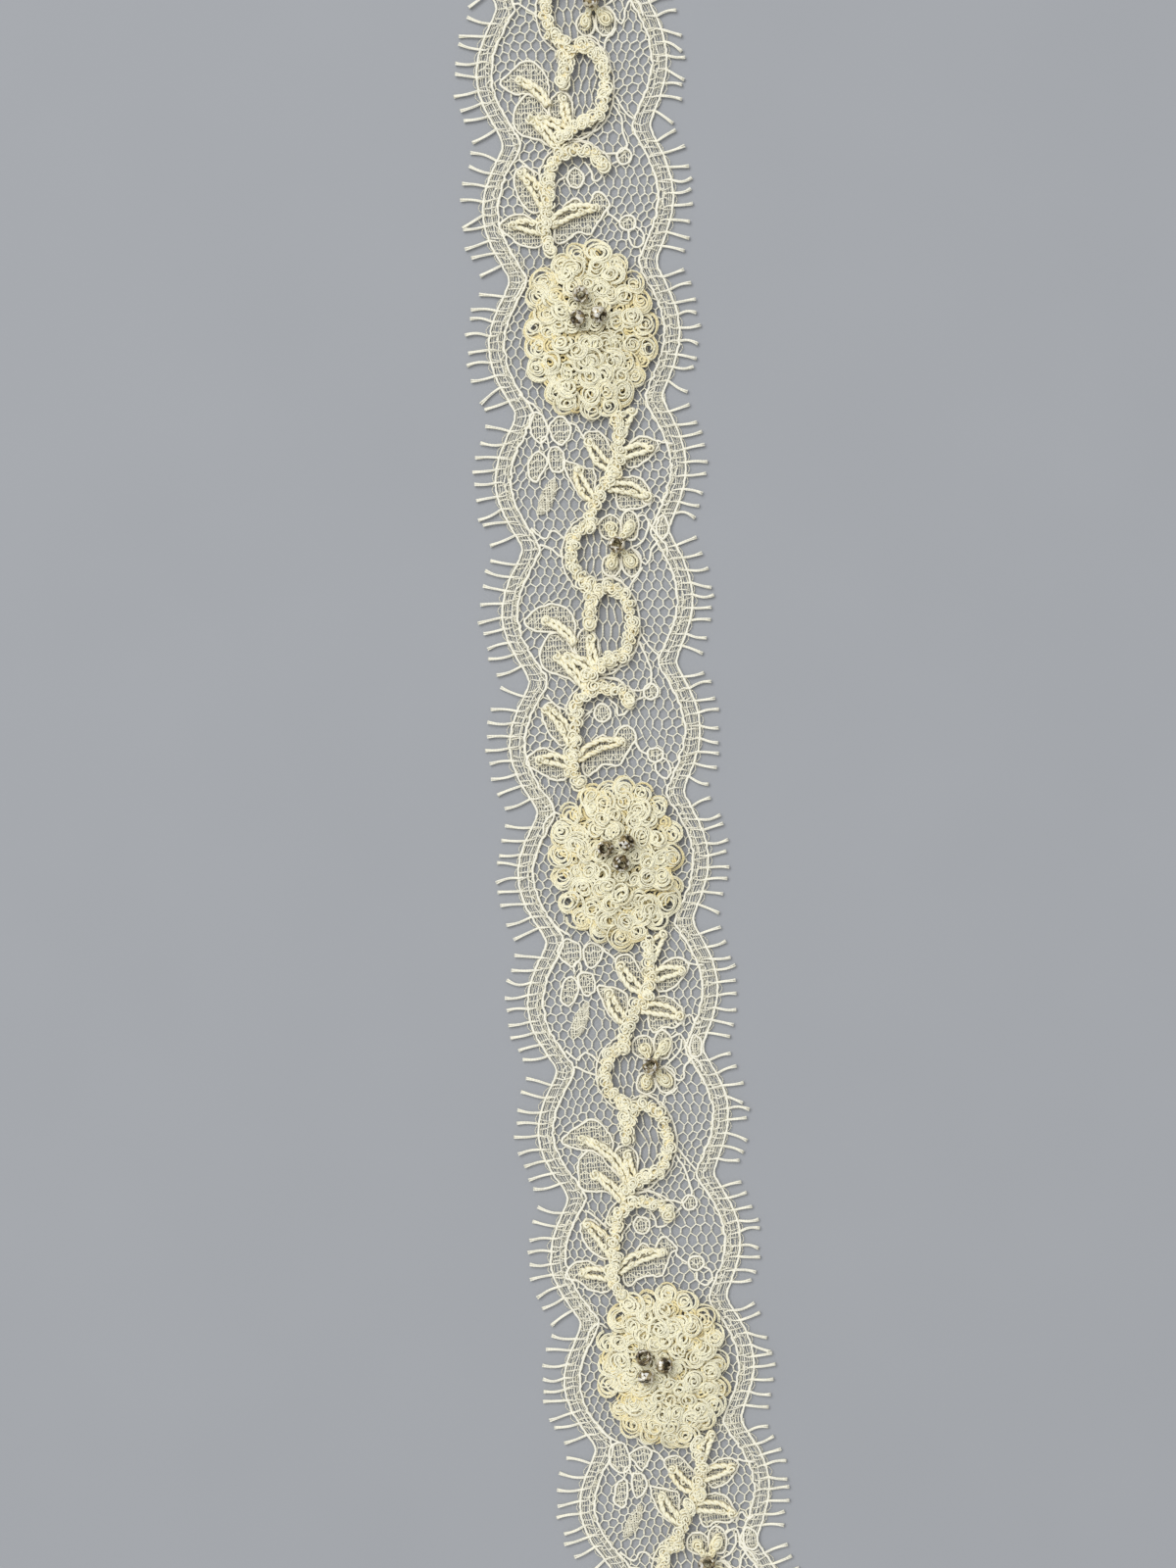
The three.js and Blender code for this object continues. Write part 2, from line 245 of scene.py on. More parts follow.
# A curl: cord wound in on itself, its outer turn low and its middle raised, tipped to one side.
# The turns lie side by side, so a bigger curl takes more of them. Paired cord is two strands laid together.
# With inner near 1 it is an arc, and middle is the angle that its middle faces. Drift moves its inner turns
# to one side, by that share of its radius, so that they crowd there and leave a crescent open on the other.
def addCurl(bundle, rng, centre, radius, *, cord, tip, tipTo, shade, oval=1, lean=0, rise=0.25, inner=0.2,
            perTurn=12, sides=5, loose=2.5, paired=False, middle=None, drift=0):
    turns = (radius - cord) * (1 - inner) / (loose * cord)
    count = max(7, round(turns * perTurn))
    u = np.linspace(0, 1, count + 1)
    way = rng.choice((-1, 1))
    start = rng.uniform(0, fullTurn) if middle is None else middle - way * math.pi * turns
    angle = start + 2 * np.pi * turns * u * way
    waver = 1 + 0.09 * np.sin(1.7 * angle + rng.uniform(0, fullTurn))
    waver = waver + 0.06 * np.sin(2.6 * angle + rng.uniform(0, fullTurn))
    reach = (radius - cord) * (1 - (1 - inner) * u) * waver
    height = rise * u + 0.06 * np.sin(2.1 * angle)
    twist = rng.uniform(-0.7, 0.7) + 0.8 * np.sin(1.3 * angle)
    driftTo = rng.uniform(0, fullTurn)
    radii = np.full(count + 1, cord * (0.6 if paired else 1))
    radii[0] = radii[-1] = cord * 0.45
    for strand in ((-0.5, 0.5) if paired else (0,)):
        away = reach + strand * cord * np.cos(twist)
        x = away * np.cos(angle) + radius * drift * math.cos(driftTo) * u
        y = away * np.sin(angle) * oval + radius * drift * math.sin(driftTo) * u
        x, y = x * math.cos(lean) - y * math.sin(lean), x * math.sin(lean) + y * math.cos(lean)
        toward = x * math.cos(tipTo) + y * math.sin(tipTo)
        z = height + strand * cord * np.sin(twist) - toward * math.sin(tip)
        points = np.stack([centre[0] + x, centre[1] + y, centre[2] + z], axis=1)
        addThread(bundle, points, radii, shade, sides)


# Strands laid round each other along a path, side by side and over and under in turn
def addTwisted(bundle, rng, path, aside, height, rope, shade, sides=4):
    beside = besideOf(path)[0]
    distance = distanceAlong(path)
    first = rng.uniform(0, fullTurn)
    for strand in range(rope["strands"]):
        twist = first + 2 * np.pi * (distance / rope["turn"] + strand / rope["strands"])
        sideways = aside + rope["apart"] * np.cos(twist)
        level = height + rope["apart"] * np.sin(twist) + rng.uniform(-0.03, 0.03)
        radii = knotted(rope["radius"], len(path), rng, 0.2)
        points = lifted(path + beside * sideways[:, None], level)
        addThread(bundle, points, radii, shade + rng.uniform(-0.1, 0.1), sides)


# Materials. An input that is given another node's output is linked to it, and any other is set.

def fillInputs(tree, node, inputs):
    for name, value in inputs.items():
        if isinstance(value, bpy.types.NodeSocket):
            tree.links.new(value, node.inputs[name])
        else:
            node.inputs[name].default_value = value


def addNode(tree, kind, inputs=None, **settings):
    made = tree.nodes.new("ShaderNode" + kind)
    for name, value in settings.items():
        setattr(made, name, value)
    fillInputs(tree, made, inputs or {})
    return made


# A ramp of tones, each at its place between 0 and 1
def addTones(tree, amount, tones):
    ramp = addNode(tree, "ValToRGB", {"Fac": amount})
    steps = ramp.color_ramp.elements
    steps.remove(steps[1])
    steps[0].position, steps[0].color = tones[0]
    for position, tone in tones[1:]:
        steps.new(position).color = tone
    return ramp.outputs["Color"]


def newFinish(name):
    made = bpy.data.materials.new(name)
    made.use_nodes = True
    return made, made.node_tree, addNode(made.node_tree, "TexCoord").outputs["Object"]


# Used by every kind of thread: how much each cause counts in its tone, and the size of its patches and
# specks. Strand, patch and speck are tone that differs at random; height is painted shade, darker lower in
# the work.
wearAndPaintedShade = {"strand": 0.34, "height": 0.2, "patch": 0.16, "speck": 0.32, "patchScale": 260, "speckScale": 2600}


def threadFinish(name, deep, middle, pale, roughness, sheen, plyPitch, plies, bump, shadeHeights, creaseShade):
    made, tree, place = newFinish(name)
    patches = addNode(tree, "TexNoise", {"Vector": place, "Scale": wearAndPaintedShade["patchScale"], "Detail": 3})
    specks = addNode(tree, "TexNoise", {"Vector": place, "Scale": wearAndPaintedShade["speckScale"], "Detail": 2})
    strand = addNode(tree, "Attribute", attribute_name="shade")

    # Painted shade: thread lying deep in the work is painted darker than thread on top of it
    level = addNode(tree, "SeparateXYZ", {0: place}).outputs["Z"]
    low, high = shadeHeights
    height = addNode(tree, "MapRange", {"Value": level, "From Min": low * mm, "From Max": high * mm})

    # And painted shade in the creases: its sides, where it meets the next thread, are painted darker than its
    # top
    uv = addNode(tree, "UVMap", uv_map="thread").outputs["UV"]
    around = addNode(tree, "VectorMath", {0: uv, 1: (0, 2 * math.pi, 0)}, operation="DOT_PRODUCT")
    top = addNode(tree, "Math", {0: around.outputs["Value"]}, operation="COSINE")

    total = 0
    for cause, weight in (
        (strand.outputs["Fac"], wearAndPaintedShade["strand"]),
        (height.outputs["Result"], wearAndPaintedShade["height"]),
        (top.outputs[0], creaseShade),
        (patches.outputs["Fac"], wearAndPaintedShade["patch"]),
        (specks.outputs["Fac"], wearAndPaintedShade["speck"]),
    ):
        total = addNode(tree, "Math", {0: cause, 1: weight, 2: total}, operation="MULTIPLY_ADD").outputs[0]
    # The tone mixes random differences from strand to strand, patch and speck with painted shade by height
    # and in the creases
    tone = addTones(tree, total, [(0.2, deep), (0.48, middle), (0.76, pale)])

    # The plies wind round the thread: along it by the pitch, and once round for each ply
    winding = (2 * math.pi / plyPitch, 2 * math.pi * plies, 0)
    turn = addNode(tree, "VectorMath", {0: uv, 1: winding}, operation="DOT_PRODUCT")
    wave = addNode(tree, "Math", {0: turn.outputs["Value"]}, operation="SINE")
    fuzz = {0: wave.outputs[0], 1: 0.5, 2: specks.outputs["Fac"]}
    relief = addNode(tree, "Bump", {
        "Height": addNode(tree, "Math", fuzz, operation="MULTIPLY_ADD").outputs[0],
        "Strength": 0.7, "Distance": bump * mm,
    })
    fillInputs(tree, tree.nodes["Principled BSDF"], {
        "Base Color": tone, "Normal": relief.outputs["Normal"], "Roughness": roughness,
        "Sheen Weight": sheen, "Sheen Roughness": 0.5, "Specular IOR Level": 0.3,
    })
    return made


def colour(red, green, blue):
    tones = [tone / 255 for tone in (red, green, blue)]
    return (*[t / 12.92 if t <= 0.04045 else ((t + 0.055) / 1.055) ** 2.4 for t in tones], 1)


# For each kind of thread, deep is the tone of darker thread and also of painted shade in low places and
# creases; the last two settings set how strong that painted shade is
laceThread = threadFinish(
    "ivory lace thread",
    deep=colour(216, 208, 182), middle=colour(248, 244, 222), pale=colour(255, 252, 236),
    roughness=0.75, sheen=0.15, plyPitch=0.35, plies=2, bump=0.03, shadeHeights=(0.1, 0.95), creaseShade=0.08,
)
raisedThread = threadFinish(
    "cream raised cord",
    deep=colour(152, 130, 84), middle=colour(249, 233, 177), pale=colour(255, 251, 225),
    roughness=0.65, sheen=0.25, plyPitch=0.4, plies=2, bump=0.04, shadeHeights=(0.6, 2.2), creaseShade=0.22,
)
curledThread = threadFinish(
    "cream curled cord",
    deep=colour(146, 123, 76), middle=colour(249, 233, 175), pale=colour(255, 251, 223),
    roughness=0.62, sheen=0.25, plyPitch=0.4, plies=2, bump=0.04, shadeHeights=(0.7, 2.7), creaseShade=0.22,
)

# Where the raised cords run. A bowed cord goes from one place to another and swells sideways by its bow; a
# scroll is part of an oval, its angles in degrees, 0 towards the right edge and 90 further down the trim.

stemCords = [
    ((2.8, 10.9), (2.2, 18.0), 0.5),
    ((2.2, 18.0), (-1.3, 24.6), -0.5),
]
stemLeaves = [
    ((3.0, 13.9), (4.9, 10.4), 0.3),
    ((1.9, 17.6), (-0.6, 14.1), 0.5),
    ((3.0, 16.2), (6.9, 15.3), 0.4),
    ((-0.4, 21.6), (-2.4, 17.6), 0.4),
    ((1.3, 20.0), (6.2, 21.3), 0.5),
]
upperScroll = {"t": -0.9, "s": 28.3, "radiusT": 2.9, "radiusS": 3.8, "start": 260, "end": 110}
lowerScroll = {"t": 0.7, "s": 37.2, "radiusT": 2.7, "radiusS": 4.7, "start": -150, "end": 100}
clusterCords = [
    ((-1.7, 31.9), (-1.9, 36.9), 0.2),
    ((0.0, 41.9), (-2.6, 43.6), 0.2),
]
clusterLeaves = [
    ((-2.9, 45.2), (-6.3, 41.0), -0.3),
    ((-1.1, 42.6), (-1.9, 38.9), 0.3),
]
# The long leaf of the cluster has one cord in the third repeat and two short ones in the others
longLeaf = [((-2.0, 43.2), (-7.4, 36.3), -1.1)]
brokenLeaf = [
    ((-3.9, 39.5), (-7.4, 36.3), -0.4),
    ((-1.3, 43.3), (-4.9, 41.1), -0.3),
]
archScroll = {"t": -0.7, "s": 48.7, "radiusT": 3.7, "radiusS": 3.5, "start": 180, "end": 336}
archCords = [
    ((-4.4, 48.4), (-5.2, 54.0), 0.2),
    ((-5.2, 54.0), (-4.4, 57.4), -0.3),
]
archLeaves = [
    ((-5.0, 52.6), (-7.9, 47.6), -0.5),
    ((-4.9, 55.2), (-9.2, 54.0), -0.4),
    ((-4.5, 54.4), (1.3, 52.4), 0.7),
]
cordStep = 0.3          # between the places of a cord's path


def bowedPath(row, start):
    (t1, s1), (t2, s2), bow = row
    a = onTrim(t1, s1 + start)
    c = onTrim(t2, s2 + start)
    sideways = np.array([a[1] - c[1], c[0] - a[0]])
    sideways /= np.linalg.norm(sideways)
    b = (a + c) / 2 + sideways * 2 * bow
    u = np.linspace(0, 1, 24)[:, None]
    return spaced((1 - u) ** 2 * a + 2 * u * (1 - u) * b + u ** 2 * c, cordStep)


def scrollPath(row, start, step, outward=0.0):
    angle = np.radians(np.linspace(row["start"], row["end"], 40))
    t = row["t"] + (row["radiusT"] + outward) * np.cos(angle)
    s = row["s"] + start + (row["radiusS"] + outward) * np.sin(angle)
    return spaced(onTrim(t, s), step)


# The lace ground: rows of net thread that run across in zigzags, joined by short upright sides

net = {
    "pitch": 1.17,          # across, from one upright side to the next
    "row": 1.18,
    "zigzag": 0.27,
    "radius": 0.118,
    "sideRadius": 0.125,
    "overlap": 0,           # share of an upright side that runs on past its corners
    "height": 0.45,
    "stray": 0.07,
    "columns": 24,          # each way from the middle
    "borderWidth": 1.1,
}
# Inside the scrolls the cells are drawn long
windowNet = {
    **net, "pitch": 1.0, "row": 1.95, "zigzag": 0.42, "radius": 0.11, "overlap": 0.13, "stray": 0.08,
}
cornerCut = 0.17        # share of each side of a corner that is cut off it
border = {
    "atNotch": 2.45,        # width of the band from the edge to its inner cord
    "atPeak": 2.1,
    "inset": 0.2,           # of the edge cord
    "edgeRadius": 0.17,
    "innerRadius": 0.18,
    "shade": 0.9,
    "crossStep": 1.05,
    "crossDepths": np.array([0.2, 0.55, 1.0]),  # from the edge inwards, by share of the width
}
# Cords that run along the band: each one's share of the way to the inner cord, its radius and its shade
bandCords = [
    (0.15, 0.048, 0.2),
    (0.29, 0.052, 0.3),
    (0.43, 0.048, 0.2),
    (0.6, 0.1, 0.8),
    (0.74, 0.048, 0.2),
    (0.87, 0.052, 0.3),
]
outline = {"radius": 0.17, "rough": 0.22, "height": 0.66, "shade": 0.9}
link = {"radius": 0.16, "rough": 0.2, "height": 0.64, "shade": 0.88}
# A lace thread follows each scroll round its outer side, this far out from the middle of its cord
scrollLine = {"out": 1.15, "radius": 0.15, "rough": 0.2, "height": 0.6, "shade": 0.85}
chartStep = 0.45        # between the points of a charted line

# Worked shapes of one repeat, all filled. A leaf or a petal has a cord round it too.
laceShapes = [
    ("petal", [(-8.0, 10.3), (-6.9, 10.0), (-6.0, 11.0), (-5.9, 12.8), (-6.8, 14.0), (-7.9, 13.2),
        (-8.2, 11.6)]),
    ("petal", [(-5.6, 11.8), (-4.8, 10.9), (-3.7, 10.9), (-3.1, 11.9), (-3.4, 13.2), (-4.4, 13.9),
        (-5.4, 13.2)]),
    ("petal", [(-8.6, 16.6), (-7.9, 15.2), (-7.0, 15.0), (-6.5, 16.2), (-6.8, 17.9), (-7.6, 18.7),
        (-8.5, 17.9)]),
    ("petal", [(-6.1, 15.2), (-5.3, 14.4), (-4.3, 14.9), (-4.1, 16.4), (-4.7, 17.6), (-5.7, 17.4)]),
    ("leaf", [(-1.3, 13.4), (-0.4, 12.7), (0.6, 12.9), (1.5, 14.2), (2.2, 16.0), (1.7, 17.7), (0.6, 17.3),
        (-0.7, 15.9)]),
    ("leaf", [(-3.9, 16.3), (-2.8, 16.5), (-1.5, 17.3), (-0.3, 17.4), (-0.1, 18.6), (-0.7, 20.6),
        (-1.7, 21.4), (-2.7, 20.2), (-3.5, 18.4)]),
    ("leaf", [(3.3, 15.8), (4.3, 14.5), (5.8, 13.8), (7.2, 14.0), (8.0, 15.0), (6.9, 16.4), (5.6, 17.4),
        (4.0, 17.6)]),
    ("leaf", [(2.4, 19.3), (3.8, 18.5), (5.3, 18.8), (6.4, 20.2), (6.6, 21.8), (5.6, 22.6), (4.2, 22.6),
        (3.0, 22.9), (2.2, 22.0)]),
    ("petal", [(7.5, 24.0), (8.3, 23.8), (8.9, 24.9), (8.5, 26.5), (7.8, 26.9), (7.2, 25.8)]),
    ("leaf", [(-10.0, 36.5), (-8.9, 35.2), (-7.2, 34.1), (-5.6, 34.1), (-4.3, 35.4), (-3.7, 37.2),
        (-4.4, 38.9), (-6.2, 37.9), (-8.2, 37.7)]),
    ("leaf", [(-7.9, 42.8), (-8.4, 40.8), (-7.9, 38.9), (-6.6, 38.0), (-5.3, 38.5), (-4.0, 40.6),
        (-2.6, 42.7), (-3.4, 44.6), (-5.0, 43.7)]),
    ("leaf", [(-3.8, 40.2), (-3.5, 38.5), (-2.4, 37.8), (-1.3, 38.3), (-0.8, 40.0), (-1.3, 42.2),
        (-2.7, 42.3)]),
    ("leaf", [(-8.5, 47.8), (-7.6, 46.9), (-6.5, 47.4), (-5.8, 49.2), (-5.4, 51.6), (-6.1, 52.6),
        (-7.4, 51.5), (-8.4, 49.6)]),
    ("leaf", [(-11.0, 54.5), (-10.2, 53.1), (-8.8, 52.6), (-7.2, 53.0), (-5.9, 54.2), (-5.0, 55.8),
        (-6.4, 56.9), (-8.3, 56.3), (-9.8, 55.2)]),
    ("leaf", [(-3.9, 55.0), (-3.2, 53.0), (-2.1, 51.8), (-1.0, 51.2), (-0.3, 51.7), (0.1, 52.8),
        (0.6, 51.6), (1.5, 50.2), (2.6, 50.9), (3.3, 52.0), (2.6, 52.9), (1.5, 54.4), (0.7, 55.6),
        (-0.9, 55.2), (-2.4, 55.9), (-3.5, 56.4)]),
    ("gauze", [(-5.2, 18.4), (-5.1, 19.8), (-5.6, 21.1), (-6.4, 22.3), (-7.7, 23.0), (-7.8, 21.6),
        (-7.3, 20.2), (-6.4, 19.1)]),
    ("thin", [(-10.8, 56.5), (-9.0, 57.2), (-8.0, 59.2), (-7.6, 61.5), (-9.6, 62.0), (-10.2, 59.5)]),
    ("thin", [(5.2, 9.6), (6.6, 8.5), (8.9, 8.0), (9.2, 9.5), (8.6, 11.0), (7.0, 10.2)]),
]
# Woven rings: the middle of each, and its two radii
rings = [
    (-0.9, 48.5, 1.05, 1.15),
    (5.4, 46.1, 0.9, 1.0),
    (5.5, 54.3, 1.0, 0.95),
    (6.2, 21.6, 0.55, 0.7),
    (1.35, 24.9, 1.4, 1.5),
    (3.9, 24.8, 1.15, 1.9),
    (3.85, 29.5, 1.25, 1.8),
    (1.3, 29.8, 1.2, 1.4),
]
# Cords that join the shapes to each other and to the borders
linkCords = [
    [(-9.4, 7.5), (-8.2, 8.6), (-6.8, 10.0)],
    [(-9.5, -3.9), (-9.0, -5.2), (-7.8, -6.3), (-6.6, -5.6)],
    [(-5.3, 8.6), (-3.2, 11.2), (-2.3, 11.9), (-1.3, 13.4)],
    [(-6.7, 14.8), (-6.7, 13.5), (-6.3, 13.1), (-5.9, 13.7), (-5.8, 14.8)],
    [(7.6, 14.3), (8.6, 14.6), (9.8, 14.8)],
    [(6.5, 22.7), (7.0, 21.4), (7.7, 21.4), (8.2, 22.4), (8.9, 22.2)],
    [(4.95, 24.0), (5.6, 23.7), (6.2, 23.8), (6.8, 25.4), (7.4, 26.7), (8.2, 27.6), (8.6, 29.0)],
    [(3.9, 27.5), (5.1, 26.9), (6.0, 25.6), (6.3, 24.2)],
    [(3.9, 27.6), (4.9, 28.8), (5.5, 29.9), (6.1, 29.5), (6.5, 27.8), (7.5, 26.9)],
    [(1.5, 31.3), (2.5, 31.9), (3.2, 33.2), (3.7, 31.8), (4.6, 31.3), (5.2, 30.4)],
    [(-8.6, 24.6), (-7.7, 25.6), (-6.9, 25.9), (-6.2, 25.1), (-5.3, 25.3), (-4.2, 26.4), (-3.4, 25.8),
     (-2.6, 24.7), (-1.3, 24.2), (-0.4, 24.8)],
    [(-7.7, 26.9), (-7.1, 26.9), (-6.5, 27.3), (-5.6, 28.0), (-4.6, 28.4), (-3.9, 28.2)],
    [(4.0, 38.0), (4.9, 39.0), (5.7, 40.5), (6.75, 41.9)],
    [(4.2, 39.6), (5.1, 41.4), (5.6, 43.2), (5.8, 44.9), (5.1, 45.5), (4.4, 45.9), (3.2, 45.7), (2.0, 45.4),
     (1.5, 44.6), (0.5, 44.0), (-0.8, 44.1), (-2.2, 44.8), (-3.3, 46.0)],
    [(3.3, 40.4), (1.9, 42.4), (0.7, 43.4), (-0.8, 43.6), (-2.0, 43.2)],
    [(-3.8, 50.3), (-3.2, 49.0), (-2.1, 48.2)],
    [(0.2, 46.6), (0.9, 47.8), (1.0, 48.8), (2.2, 48.7), (2.8, 47.7), (3.7, 47.0), (4.5, 46.7)],
    [(3.15, 52.2), (3.1, 52.9), (3.6, 53.6), (4.5, 54.3)],
    [(6.4, 54.8), (7.1, 55.3), (7.3, 56.8), (6.5, 57.5), (5.6, 56.7), (5.4, 55.4)],
    [(-7.9, 45.8), (-6.8, 47.0), (-5.6, 48.0), (-5.0, 48.6)],
]
# The threads that fill a shape: how far apart they run across and down, and whether a cord goes round it
fills = {
    "petal": {"across": 0.31, "down": 0.72, "radius": 0.07, "outline": True, "shade": 0.35},
    "leaf": {"across": 0.33, "down": 0.66, "radius": 0.07, "outline": True, "shade": 0.35},
    "gauze": {"across": 0.17, "down": 0.33, "radius": 0.08, "outline": False, "shade": 0.1},
    "thin": {"across": 0.34, "down": 0.8, "radius": 0.06, "outline": False, "shade": 0.3},
}


def insideShape(t, s, around):
    count = np.zeros(np.shape(t), int)
    for (t1, s1), (t2, s2) in zip(around, np.roll(around, -1, axis=0)):
        if s1 == s2:
            continue
        straddles = (s1 > s) != (s2 > s)
        crossing = t1 + (s - s1) * (t2 - t1) / (s2 - s1)
        count += straddles & (t < crossing)
    return count % 2 == 1


def onLace(t, s, margin):
    isBeside = (t > edgeAt(leftSide, s) + margin) & (t < edgeAt(rightSide, s) - margin)
    return isBeside & (s > trim["start"] + 0.2) & (s < trim["end"] - 0.2)


# No two repeats of the lace come out quite alike
def strayed(places, stray, rng):
    return np.array(places) + rng.normal(0, stray, (len(places), 2))


def shapesOfTrim(rng):
    shapes = []
    for repeat in repeats:
        for kind, places in laceShapes:
            around = smoothed(strayed(places, 0.13, rng), chartStep, closed=True)
            around = around + [0, repeat * trim["repeat"]]
            if onLace(*around.T, 0.2).mean() > 0.6:
                shapes.append((kind, around))
    return shapes


# Each window is the oval down the middle of a scroll's cord, and a little more
def insideWindow(t, s, more):
    found = np.zeros(np.shape(t), bool)
    for repeat in repeats:
        for row in (upperScroll, lowerScroll):
            across = (t - row["t"]) / (row["radiusT"] + more)
            down = (s - row["s"] - repeat * trim["repeat"]) / (row["radiusS"] + more)
            found |= across ** 2 + down ** 2 < 1
    return found


# Each corner of a zigzag becomes two, so that its thread keeps its thickness between them
def rounded(points):
    near = points[:-1] + (points[1:] - points[:-1]) * cornerCut
    far = points[1:] + (points[:-1] - points[1:]) * cornerCut
    near[0] = points[0]
    far[-1] = points[-1]
    return np.stack([near, far], axis=1).reshape(-1, 3)


# The corners of a net, pulled out of true by slow waves and a little at random
def netCorners(column, row, sign, mesh, rng):
    t = column * mesh["pitch"] / 2
    s = trim["start"] + 0.4 + row * mesh["row"] + sign * mesh["zigzag"]
    drift = 0.27 * np.sin(0.31 * s + 0.23 * t) + 0.15 * np.sin(0.9 * s - 0.55 * t + 1)
    sag = 0.36 * np.sin(0.3 * t + 0.36 * s) + 0.13 * np.sin(1.1 * t + 0.6 * s + 2)
    t = t + drift + rng.normal(0, mesh["stray"], t.shape)
    s = s + sag + rng.normal(0, mesh["stray"], t.shape)
    return t, s, mesh["height"] + rng.normal(0, 0.05, t.shape)


def addNet(bundle, shapes, mesh, isWindow, rng):
    rows = np.arange(int((trim["end"] - trim["start"]) / mesh["row"]))
    column, row = np.meshgrid(np.arange(-mesh["columns"], mesh["columns"]), rows)
    sign = np.where((column + row) % 2 == 0, 1, -1)
    t, s, z = netCorners(column, row, sign, mesh, rng)
    points = np.concatenate([onTrim(t, s), z[..., None]], axis=-1)
    # Both nets go on a little way under the cord that divides them
    inside = insideWindow(t, s, 0.45) if isWindow else ~insideWindow(t, s, -0.3)
    inside &= onLace(t, s, mesh["borderWidth"])
    inside &= np.roll(inside, 1, axis=1) | np.roll(inside, -1, axis=1)
    shade = rng.uniform(0.3, 0.8, t.shape)
    for r in rows:
        where = np.flatnonzero(inside[r])
        for run in np.split(where, np.flatnonzero(np.diff(where) > 1) + 1):
            if len(run) > 1:
                path = rounded(points[r, run]) if isWindow else points[r, run]
                addThread(bundle, path, mesh["radius"], shade[r, run[0]])
    covered = np.zeros(t.shape, bool)
    for kind, around in shapes:
        covered |= insideShape(t, s, around)
    upper, lower = points[:-1], points[1:]
    overlap = (lower - upper) * mesh["overlap"]
    joins = (sign[:-1] == 1) & inside[:-1] & inside[1:] & ~(covered[:-1] & covered[1:])
    for r, c in zip(*np.nonzero(joins)):
        ends = [upper[r, c] - overlap[r, c], lower[r, c] + overlap[r, c]]
        addThread(bundle, ends, mesh["sideRadius"], shade[r, c], 3)


def bandWidth(wave):
    return border["atNotch"] + (border["atPeak"] - border["atNotch"]) * wave


def edgePath(side, inset, step, rng, stray, height=0.5):
    s = np.arange(trim["start"], trim["end"], step)
    s = np.append(s, trim["end"])
    t = edgeAt(side, s) - side["sign"] * inset(scallopWave(side, s)) + rng.normal(0, stray, len(s))
    return lifted(onTrim(t, s), height + rng.normal(0, 0.05, len(s)))


def addBorder(bundle, side, rng):
    path = edgePath(side, lambda wave: border["inset"], 0.4, rng, 0.035)
    addThread(bundle, path, knotted(border["edgeRadius"], len(path), rng, 0.2), border["shade"], 5)
    for share, radius, shade in bandCords:
        def inset(wave):
            return border["inset"] + share * (bandWidth(wave) - border["inset"])
        path = edgePath(side, inset, 0.7, rng, 0.07)
        addThread(bundle, path, knotted(radius, len(path), rng), shade, 3)
    path = edgePath(side, bandWidth, 0.45, rng, 0.075, 0.6)
    addThread(bundle, path, knotted(border["innerRadius"], len(path), rng, 0.24), border["shade"], 5)

    # Short threads across the band, between its lengthwise ones
    for s in np.arange(trim["start"] + 0.5, trim["end"] - 0.5, border["crossStep"]):
        s = s + rng.uniform(-0.2, 0.2)
        depth = border["crossDepths"] * bandWidth(scallopWave(side, s)) + rng.uniform(-0.1, 0.1, 3)
        t = edgeAt(side, s) - side["sign"] * depth
        places = onTrim(t, s + rng.uniform(-0.25, 0.25, 3))
        shade = rng.uniform(0.3, 0.9)
        addThread(bundle, lifted(places, rng.uniform(0.45, 0.65, 3)), rng.uniform(0.07, 0.12), shade, 3)


def addLine(bundle, path, line, rng, closed=False):
    radii = knotted(line["radius"], len(path), rng, line["rough"])
    addThread(bundle, lifted(path, line["height"]), radii, line["shade"], 5, closed)


def addShape(bundle, kind, around, rng):
    fill = fills[kind]
    if fill["outline"]:
        path = onTrim(*around.T) + rng.normal(0, 0.045, around.shape)
        addLine(bundle, path, outline, rng, closed=True)
    for axis, gap in ((0, fill["across"]), (1, fill["down"])):
        low, high = around[:, axis].min(), around[:, axis].max()
        for at in np.arange(low + gap * 0.6, high, gap):
            addFillLine(bundle, around, axis, at + rng.uniform(-0.06, 0.06), fill, rng)


# One straight fill thread, cut where it leaves the shape
def addFillLine(bundle, around, axis, at, fill, rng):
    ends = []
    for a, b in zip(around, np.roll(around, -1, axis=0)):
        if (a[axis] > at) != (b[axis] > at):
            share = (at - a[axis]) / (b[axis] - a[axis])
            ends.append(a[1 - axis] + share * (b[1 - axis] - a[1 - axis]))
    ends.sort()
    for start, end in zip(ends[::2], ends[1::2]):
        if end - start < 0.4:
            continue
        count = max(2, round((end - start) / 0.8) + 1)
        along = np.linspace(start, end, count)
        beside = at + rng.normal(0, 0.04, count)
        t, s = (beside, along) if axis == 0 else (along, beside)
        height = 0.45 + rng.normal(0, 0.04, count)
        shade = fill["shade"] + rng.uniform(-0.1, 0.25)
        addThread(bundle, lifted(onTrim(t, s), height), fill["radius"], shade, 3)


# What would run on past the end of the trim is left out
def addLinks(bundle, rng):
    lastY = onTrim(0, trim["end"] - 0.5)[1]
    for repeat in repeats:
        move = [0, repeat * trim["repeat"]]
        for row in linkCords:
            places = smoothed(strayed(row, 0.1, rng), chartStep) + move
            if onLace(*places.T, 0.1).all():
                path = onTrim(*places.T) + rng.normal(0, 0.04, places.shape)
                addLine(bundle, path, link, rng)
        for t, s, radiusT, radiusS in rings:
            angle = np.linspace(0, 2 * np.pi, 16, endpoint=False)
            around = np.stack([t + radiusT * np.cos(angle), s + radiusS * np.sin(angle)], axis=1) + move
            if onLace(*around.T, 0.1).all():
                addShape(bundle, "petal", around, rng)
        for row in (upperScroll, lowerScroll, archScroll):
            path = scrollPath(row, move[1], chartStep, scrollLine["out"])
            if path[:, 1].min() > lastY:
                addLine(bundle, path + rng.normal(0, 0.05, path.shape), scrollLine, rng)


